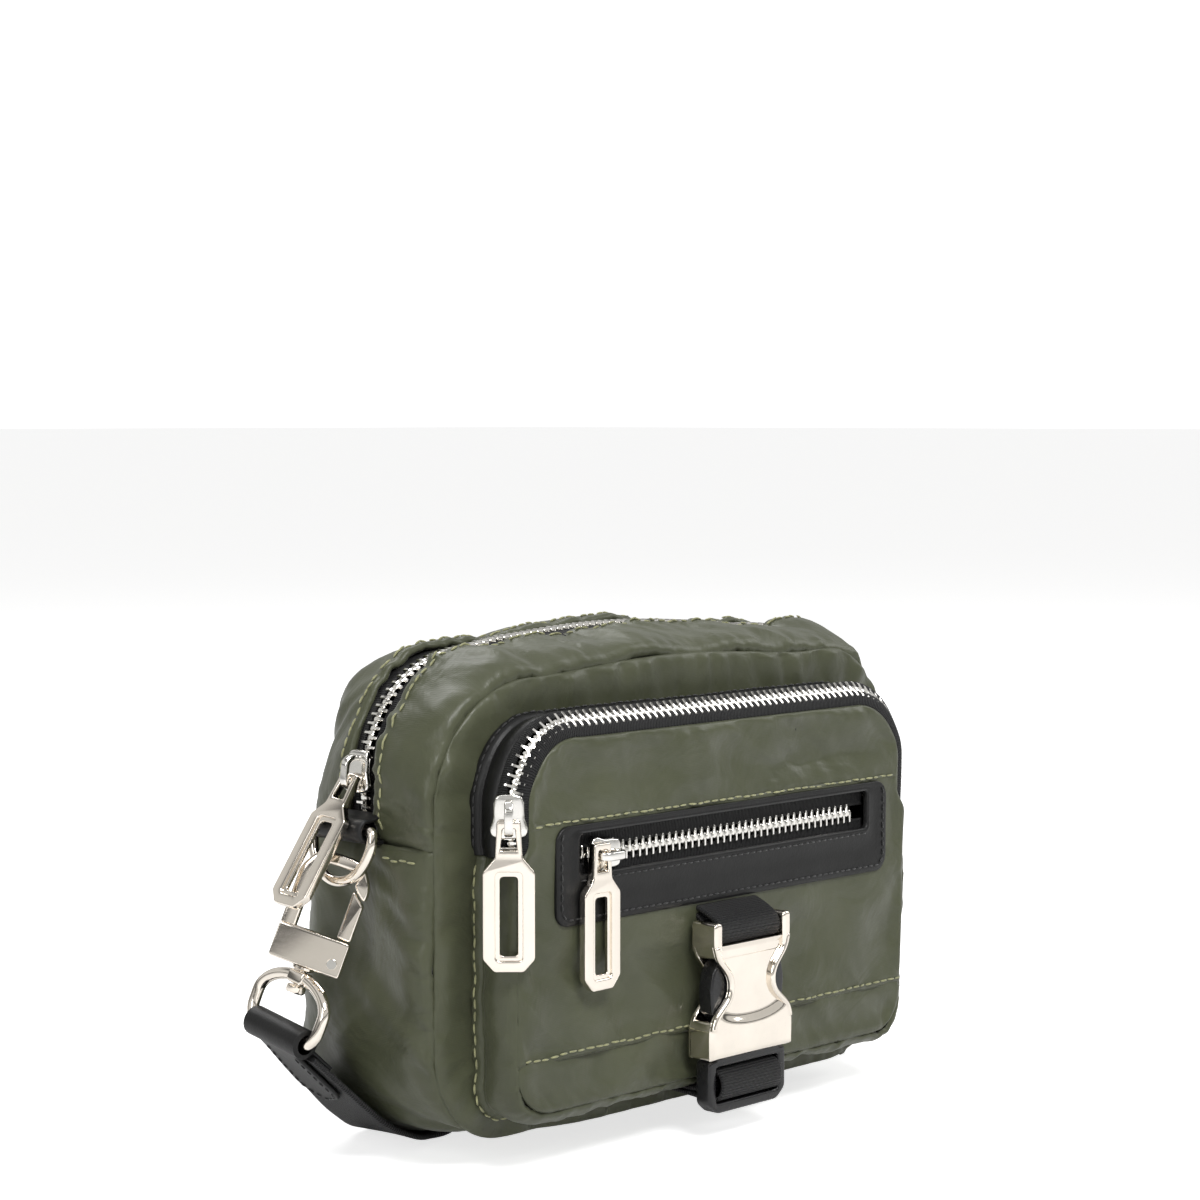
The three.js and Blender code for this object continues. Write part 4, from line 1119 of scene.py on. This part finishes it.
UPPER_FRONT = (
    (-26.4, 92.4, 6, 127.4), (-27.3, 94.0, 5, 129.0), (-26.4, 95.2, 4, 130.8), (-22, 95.9, 3, 133.0),
    (-15, 95.2, 3, 134.5), (-9.6, 94.0, 3, 135.2), (-7.5, 93.3, 3, 135.0), (-7.1, 92.6, 3, 134.2),
    (-8.5, 92.2, 3, 133.6),
)
UPPER_REAR = (
    (8.4, 92.2, 3, 134.9), (6.9, 92.8, 3, 135.3), (7.3, 93.3, 3, 135.7), (9.4, 93.8, 3, 135.6),
    (15, 93.8, 3, 134.4), (21, 92.6, 3, 132.0), (25, 90.6, 3, 129.6), (27.2, 88.8, 3, 127.8),
    (26.8, 87.4, 3, 126.6),
)
LOWER_BAND = (
    (-26.4, 92.4, 9.4, 127), (-27.2, 93.9, 8.2, 129), (-26.0, 95.1, 8.4, 129), (-21, 96.0, 8.2, 129),
    (-12, 95.6, 6.9, 129), (0, 94.9, 5.0, 129), (11, 94.4, 3.0, 129), (19, 93.2, 2.4, 129),
    (24, 91.4, 3.4, 129), (27.2, 89.6, 6.0, 129), (26.8, 88.2, 7.4, 129),
)


def face(name, shape, rings, seed, sign, broad, pucker, material=NYLON, thick=0.9):
    """A front or back panel: nested outlines from the seam inwards, then a flat middle."""
    half, base, top, base_r, top_r = shape
    middle = (base + top) / 2
    rows = []
    for inset, y in rings:
        inner = (half - inset, base + inset, top - inset, max(base_r - inset, 2.5), max(top_r - inset, 2.5))
        lower, _ = arch(inner, middle, (18, 30, 90), False)
        upper, _ = arch(inner, middle, (18, 30, 90), True)
        line = np.vstack([lower, upper[::-1][1:-1]])
        rows.append(upright(line, y))
    grid = np.array(rows)
    insets = np.array([r[0] for r in rings])[:, None]
    s = np.tile(lengths(grid[2]), (len(rings), 1))
    x, z = grid[..., 0], grid[..., 2]
    soft = broad * ripple(x / 30, z / 24, seed) * np.clip(insets / 6, 0, 1)
    near = np.exp(-insets / 12) * np.clip(insets / 1.5, 0, 1)
    gather = 0.75 * ripple(s / 7.5 + insets / 30, insets / 30, seed + 5)
    gather = gather + 0.35 * ripple(s / 3.4, insets / 14, seed + 8)
    wave = soft + pucker * near * gather
    grid[..., 1] += sign * wave
    uvs = np.stack([s, np.broadcast_to(insets, s.shape)], 2)
    return cloth(name, relax(grid), material, uvs, wrap=True, cap=True, thick=thick, flip=sign > 0)


def dense(rings, per=5):
    return [tuple(r) for r in catmull(rings, per)]


def inner_sheet(name, half, heights, counts, y, wave, seed, node):
    """A flat pocket of lining cloth inside the bag."""
    u, v = np.meshgrid(np.linspace(-half, half, counts[0]), np.linspace(*heights, counts[1]))
    grid = np.stack([u, y + wave * ripple(u / 20, v / 20, seed), v], 2)
    settle(cloth(name, grid, LINING, np.stack([u, v], 2), thick=0.6), "bag", "lining", node)


def body_cloth():
    corners = (29, 36)
    top = strip("top_strip_front", UPPER_FRONT, 86, corners, True, (0.0, 0.92), 1.0, NYLON, 1.8, 1.1)
    rear = strip("top_strip_rear", UPPER_REAR, 86, corners, True, (1.0, 0.08), 21.0, NYLON, 1.5, 0.5)
    base = strip("base_strip", LOWER_BAND, 85.9, corners, False, (0, 1), 41.0, NYLON, 1.6, 0.85, across=76)
    settle(top, "bag", "nylon", "gusset_top_front")
    settle(rear, "bag", "nylon", "gusset_top_rear")
    settle(base, "bag", "nylon", "gusset_base")
    return top, rear, base


def body_panels():
    """Each panel's rings are pairs: how far in from the seam, and the depth there."""
    rings = ((1.8, -26.4), (0.3, -27.6), (0.9, -28.8), (4, -29.4), (12, -29.2), (30, -28.9), (58, -28.8))
    rings = dense(rings)
    front = face("front", (94.0, 5.4, 129.0, 28, 35), rings, 60.0, -1, 0.5, 2.0)
    settle(front, "bag", "nylon", "front_panel")
    rings = dense([(1.6, 26.4), (0.2, 27.4), (1.2, 28.6), (5, 30.2), (13, 31.6), (30, 32.2), (58, 32.4)])
    back = face("back", (89.8, 6.0, 129.2, 28, 34.5), rings, 80.0, 1, 1.5, 0.9)
    settle(back, "bag", "nylon", "back_panel")


def body_lining():
    for name, sign, seed in (("front", -1, 100.0), ("back", 1, 120.0)):
        rings = dense([(inset, 24.4 * sign) for inset in (0, 6, 24, 56)], 3)
        shape = (89, 8, 123, 26, 32)
        sheet = face(f"lining_{name}_cloth", shape, rings, seed, sign, 0.3, 0.1, LINING, 0.6)
        settle(sheet, "bag", "lining", f"lining_{name}")
    stations = ((-23.6, 88.5, 9, 123), (0, 89.5, 7, 123), (23.6, 88.5, 9, 123))
    base = strip("lining_base_cloth", stations, 84, (26, 33), False, (0, 1), 140.0, LINING, 0.3, 0.1, 0, 20)
    settle(base, "bag", "lining", "lining_base")
    inner_sheet("slip_pocket", 61, (15, 85), (60, 40), 23.2, 0.3, 150.0, "lining_slip_pocket")


MAIN_LINE = (92.15, 3, 134.15, 29, 34.15)


def main_zip(top, rear, base):
    points, facing = arch_path(MAIN_LINE, 93.5, 0, counts=(6, 40, 60))
    chain = teeth("main_teeth", crest(points), facing)
    settle(chain, "bag", "zip_metal", "main_zip_chain")
    for name, sign in (("front", -1), ("rear", 1)):
        edges = ((2.1, 92.2, 134.2), (2.6, 92.55, 134.55), (3.1, 92.2, 134.2), (9.5, 91.7, 133.7))
        stations = [(sign * y, half, 3, height) for y, half, height in edges]
        grid, _, uvs = band(stations, 87, (16, 40, 80), (29, 34.15), True, 16)
        tape = cloth(f"main_tape_{name}", crest(grid), TAPE, uvs, thick=0.7, flip=sign < 0)
        settle(tape, "bag", "zip_tape", f"main_zip_tape_{name}")
    for side, sign in SIDES:
        place = frame4((sign * 92.15, 0, 92.6), (0, -sign, 0), (-sign, 0, 0), (0, 0, 1))
        zip_stop("main", side, oblong(-2.9, 2.9, -1.2, 1.2), -1.3, place)
    for name, y, onto in (("front", -9.9, top), ("rear", 9.9, rear)):
        line, _ = arch_path((98, 3, 140, 29, 38), 88.5, y)
        stitch_line(f"zip_stitches_{name}", relax(line), onto, "nylon")
    for side, sign in SIDES:
        for part, (y0, y1) in (("front", (-24.5, -10.8)), ("rear", (10.8, 23.5))):
            line = [(sign * 99, y, 83.4) for y in np.linspace(y0, y1, 9)]
            stitch_line(f"side_stitches_{part}_{side}", line, base, "nylon")


# ---------- front pocket ----------

TRIM = (
    (-28.0, 79.4, 16, 119.6), (-28.7, 81.2, 15, 121.5), (-29.6, 81.7, 14, 122.0), (-31.6, 81.1, 14, 121.5),
    (-32.4, 80.3, 14, 120.7), (-33.3, 80.7, 14, 121.1), (-35.6, 81.6, 14, 122.0), (-37.6, 81.7, 14, 122.1),
    (-38.9, 80.9, 14, 121.3), (-38.6, 79.9, 14, 120.3), (-37.2, 79.6, 14, 120.0),
)
POCKET_BAND = (
    (-28.0, 79.4, 14.4, 120), (-28.7, 81.0, 12.8, 120), (-29.8, 81.4, 12.4, 120), (-31.8, 81.0, 12.8, 120),
    (-32.8, 80.4, 13.4, 120), (-34.4, 81.0, 12.8, 120), (-38.5, 81.8, 12.4, 120), (-42.5, 81.5, 13.2, 120),
    (-44.8, 80.7, 14.6, 120), (-45.4, 79.9, 15.6, 120), (-44.7, 79.0, 16.8, 120),
)
POCKET_LINE = (79.9, 16, 120.4, 12, 23.4)
PANEL_Y = -46.1


def panel_half(z):
    """Half width of the pocket's front at height z, narrowing beside the zip."""
    low_bend = np.clip(28.5 - z, 0, 12)
    wide = 68.3 + np.sqrt(np.clip(144 - low_bend**2, 0, None))
    t = smooth((z - 81) / 7)
    top_bend = np.clip(z - 97, 0, 19.4)
    narrow = 57.0 + np.sqrt(np.clip(19.4**2 - top_bend**2, 0, None))
    return wide * (1 - t) + narrow * t


def cut_window(panel, x0, x1, z0, z1):
    """Takes out the faces whose middles lie in a rectangle seen from the front."""
    def inside(place):
        return x0 * MM < place.x < x1 * MM and z0 * MM < place.z < z1 * MM

    work = bmesh.new()
    work.from_mesh(panel.data)
    gone = [face for face in work.faces if inside(face.calc_center_median())]
    bmesh.ops.delete(work, geom=gone, context="FACES")
    work.to_mesh(panel.data)
    work.free()


def pocket_panel(name, z0, z1, seed, fold_low=False, rows=48):
    """One of the pocket's three front panels; fold_low turns its lower edge in at a seam."""
    broad = 0.95
    z = np.linspace(z0, z1, rows)[:, None]
    u = np.sin(np.linspace(-1, 1, 150) * math.pi / 2)[None, :]
    half = panel_half(z)
    x, z = np.broadcast_arrays(u * half, z + 0 * u)
    edge = np.minimum.reduce([half - np.abs(x), z - 16.2 + 0 * x, 116.5 - z + 0 * x])
    edge = np.minimum(edge, (z - z0 + 0.2) if fold_low else 99)
    roll = np.clip(edge / 2.2, 0, 1)
    y = PANEL_Y + quarter(1 - roll)
    soft = broad * ripple(x / 24, z / 18, seed)
    soft = soft + 0.8 * broad * (0.4 - np.sqrt(ripple(x / 17 + z / 19, z / 30, seed + 2) ** 2 + 0.04))
    near = np.exp(-np.abs(edge - 1.5) / 5)
    apart = np.hypot(np.maximum(np.abs(x - 1) - 67, 0), np.maximum(np.abs(z - 77) - 16, 0))
    free = smooth(apart / 9) * smooth(edge / 6)
    soft = np.clip(soft * (0.35 + 1.5 * free) - 0.55 * free, -2.2, 0.75)
    y = y - soft * roll - 0.6 * near * ripple(x / 4.2 + z / 5, z / 7, seed + 4) * roll
    if not fold_low:
        y = y + 0.5 * np.clip((z - (z1 - 3)) / 3, 0, 1)
    return cloth(name, slump(np.stack([x, y, z], 2)), NYLON, np.stack([x, z], 2), thick=0.8)


def pocket_tapes():
    rear = (
        (-37.4, 80.2, 16, 120.7), (-38.4, 80.5, 16, 121.0), (-40.4, 81.7, 16, 122.2),
        (-41.2, 81.5, 16, 122.0), (-41.2, 80.8, 16, 121.3),
    )
    front = (
        (-43.4, 79.3, 16, 119.8), (-44.2, 78.8, 16, 119.3), (-44.7, 77.9, 16, 118.4),
        (-44.8, 76.2, 16, 116.7), (-44.2, 74.0, 16, 114.5), (-43.4, 70.0, 16, 110.5),
    )
    for name, stations, radii, across in (("rear", rear, (12, 24), 16), ("front", front, (12, 22), 20)):
        grid, _, uvs = band(stations, 83, (10, 30, 80), radii, True, across)
        tape = cloth(f"pocket_tape_{name}_cloth", slump(grid), TAPE, uvs, thick=0.6)
        settle(tape, "bag", "zip_tape", f"pocket_zip_tape_{name}")


def pocket():
    radii = (12, 24)
    trim = strip("trim", TRIM, 84, radii, True, (0, 0.95), 160.0, LEATHER, 0.3, 0.22, 0.6, settle_by=slump)
    settle(trim, "bag", "faux_leather", "pocket_trim")
    lower = strip(
        "pocket_band", POCKET_BAND, 84, radii, False, (0, 1), 180.0, NYLON, 0.95, 0.8, 1, 50, slump
    )
    settle(lower, "bag", "nylon", "pocket_gusset")
    points, facing = arch_path(POCKET_LINE, 87, -42.6, math.pi / 4, (8, 30, 60))
    settle(teeth("pocket_teeth", slump(points), facing), "bag", "zip_metal", "pocket_zip_chain")
    pocket_tapes()
    for side, sign in SIDES:
        n = Vector((-sign, 1, 0)).normalized()
        across = Vector((1, sign, 0)).normalized()
        place = frame4((sign * 79.9, -42.6, 86.3), across * -sign, n, (0, 0, 1))
        zip_stop("pocket", side, oblong(-2.8, 2.8, -1.1, 1.1), -1.2, place)
    upper = pocket_panel("panel_top", 90.6, 116.3, 200.0, fold_low=True)
    settle(upper, "bag", "nylon", "pocket_panel_upper")
    middle = pocket_panel("panel_middle", 29.6, 92.5, 220.0, True, 60)
    cut_window(middle, -61, 63, 76.2, 89.9)
    settle(middle, "bag", "nylon", "pocket_panel_middle")
    under = pocket_panel("panel_low", 16.4, 31.0, 240.0, False, 24)
    settle(under, "bag", "nylon", "pocket_panel_lower")
    seam = [(x, -47, 92.3) for x in np.linspace(-74.5, 74.5, 80)]
    stitch_line("panel_stitches_high", seam, upper, "nylon")
    seam = [(x, -47, 31.4) for x in np.linspace(-78.5, 78.5, 80)]
    stitch_line("panel_stitches_low", seam, middle, "nylon")
    line, _ = arch_path((81.8, 14, 122.2, 12, 24.5), 86, -30.5)
    stitch_line("trim_stitches", slump(line), trim, "faux_leather", 2.8, 2.1, 0.5)
    low_line, _ = arch((82, 12, 120, 12, 24), 82, (10, 20, 60), False)
    stitch_line("pocket_band_stitches", upright(low_line, -30.6), lower, "nylon")


def rounded_ring(x0, x1, z0, z1, radius):
    """Evenly matched points round a rectangle, so that two such rings can be joined."""
    right, left = x1 - radius, x0 + radius
    high, low = z1 - radius, z0 + radius
    points = []
    for cx, cz, first in ((right, high, 0), (left, high, 90), (left, low, 180), (right, low, 270)):
        for i in range(9):
            a = math.radians(first + 11.25 * i)
            points.append((cx + radius * math.cos(a), cz + radius * math.sin(a)))
    points = np.array(points)
    full = []
    for i, p in enumerate(points):
        q = points[(i + 1) % len(points)]
        side_steps = 60 if i // 9 % 2 == 0 else 14
        steps = 1 if (i + 1) % 9 else side_steps
        full += [p + (q - p) * k / steps for k in range(steps)]
    return np.array(full)


def welt():
    outer = rounded_ring(-67.5, 70.5, 64.8, 91.2, 4.5)
    inner = rounded_ring(-59.0, 61.5, 78.0, 88.9, 1.6)
    profile = (
        (0.0, -45.4), (0.0, -46.6), (0.03, -46.95), (0.12, -47.0), (0.5, -46.85), (0.84, -46.8),
        (0.9, -47.1), (0.97, -47.15), (1.0, -46.7), (1.0, -45.5),
    )
    rows = []
    for t, y in profile:
        line = outer * (1 - t) + inner * t
        wave = 0.09 * ripple(line[:, 0] / 14, line[:, 1] / 9, 260.0) * (1 if 0.02 < t < 0.95 else 0)
        rows.append(upright(line, y - wave))
    grid = np.array(rows)
    uvs = np.stack([grid[..., 0], grid[..., 2]], 2)
    panel = cloth("welt_leather", grid, LEATHER, uvs, wrap=True, thick=0, flip=True)
    settle(outward(panel), "bag", "faux_leather", "welt_panel")
    line = rounded_ring(-65.7, 68.7, 66.6, 90.4, 3.2)
    keep = line[line[:, 1] < 89.6]
    start = int(np.argmax(np.linalg.norm(np.diff(keep, axis=0), axis=1))) + 1
    keep = np.roll(keep, -start, axis=0)
    stitch_line("welt_stitches", upright(keep, -47.5), panel, "faux_leather", 2.6, 2.0, 0.45)
    path = [(x, -47.5, 76.3) for x in np.linspace(-59, 61, 60)]
    stitch_line("window_stitches", path, panel, "faux_leather", 2.6, 2.0, 0.45)
    path = np.array([(x, -43.8, 82.5) for x in np.linspace(-56, 56, 90)])
    chain = teeth("welt_teeth", path, np.tile((0.0, -1.0, 0.0), (len(path), 1)))
    settle(chain, "bag", "zip_metal", "welt_zip_chain")
    for name, z_near, z_far in (("upper", 84.6, 89.8), ("lower", 80.4, 75.2)):
        u, v = np.meshgrid(np.linspace(-62.5, 62.5, 90), np.linspace(0, 1, 10))
        z = z_near + (z_far - z_near) * v
        y = -43.9 - 0.35 * np.exp(-((v / 0.1) ** 2)) - 0.5 * v
        grid, uvs = np.stack([u, y, z], 2), np.stack([u, z], 2)
        tape = cloth(f"welt_tape_{name}", grid, TAPE, uvs, thick=0.6, flip=name == "lower")
        settle(tape, "bag", "zip_tape", f"welt_zip_tape_{name}")
    inner_sheet("pouch", 60, (36, 88), (70, 30), -41.5, 0.2, 280.0, "welt_pouch")


def zip_pulls():
    """The three sliders and their pulls, each named after its zip."""
    turn = Matrix.Rotation(math.radians(-45), 4, "Z")
    slider("pocket_runner", Matrix.Translation((-80.3, -42.2, 95.5)) @ turn)
    pull("pocket_puller", Matrix.Translation((-83.73, -45.63, 93.8)) @ turn)
    sideways = Matrix.Rotation(math.radians(90), 4, "Y")
    slider("welt_runner", Matrix.Translation((-49, -43.8, 82.5)) @ sideways)
    pull("welt_puller", Matrix.Translation((-53.1, -48.65, 85.1)))
    tip = Matrix.Rotation(math.radians(7), 3, "Y")
    place = frame4((-91.945, 0, 104.168), (0, -1, 0), tip @ Vector((1, 0, 0)), tip @ Vector((0, 0, 1)))
    slider("main_runner", place)
    across, inward = (-0.0085, -0.99756, -0.06924), (0.8388, 0.03058, -0.54358)
    upward = (0.54437, -0.0627, 0.8365)
    pull("main_puller", frame4((-96.966, 0, 103.072), across, inward, upward))


def main():
    make_camera()
    on_strap = []
    for side in ("left", "right"):
        ring = swivel_ring(side)
        parts = clip(side)
        d_ring(side)
        side_loop(side)
        on_strap += [ring, *parts]
    make_strap(on_strap)
    strips = body_cloth()
    body_panels()
    body_lining()
    main_zip(*strips)
    pocket()
    welt()
    zip_pulls()
    buckle_housing()
    buckle_insert()
    buckle_webbing()
    make_floor()
    make_studio()


main()
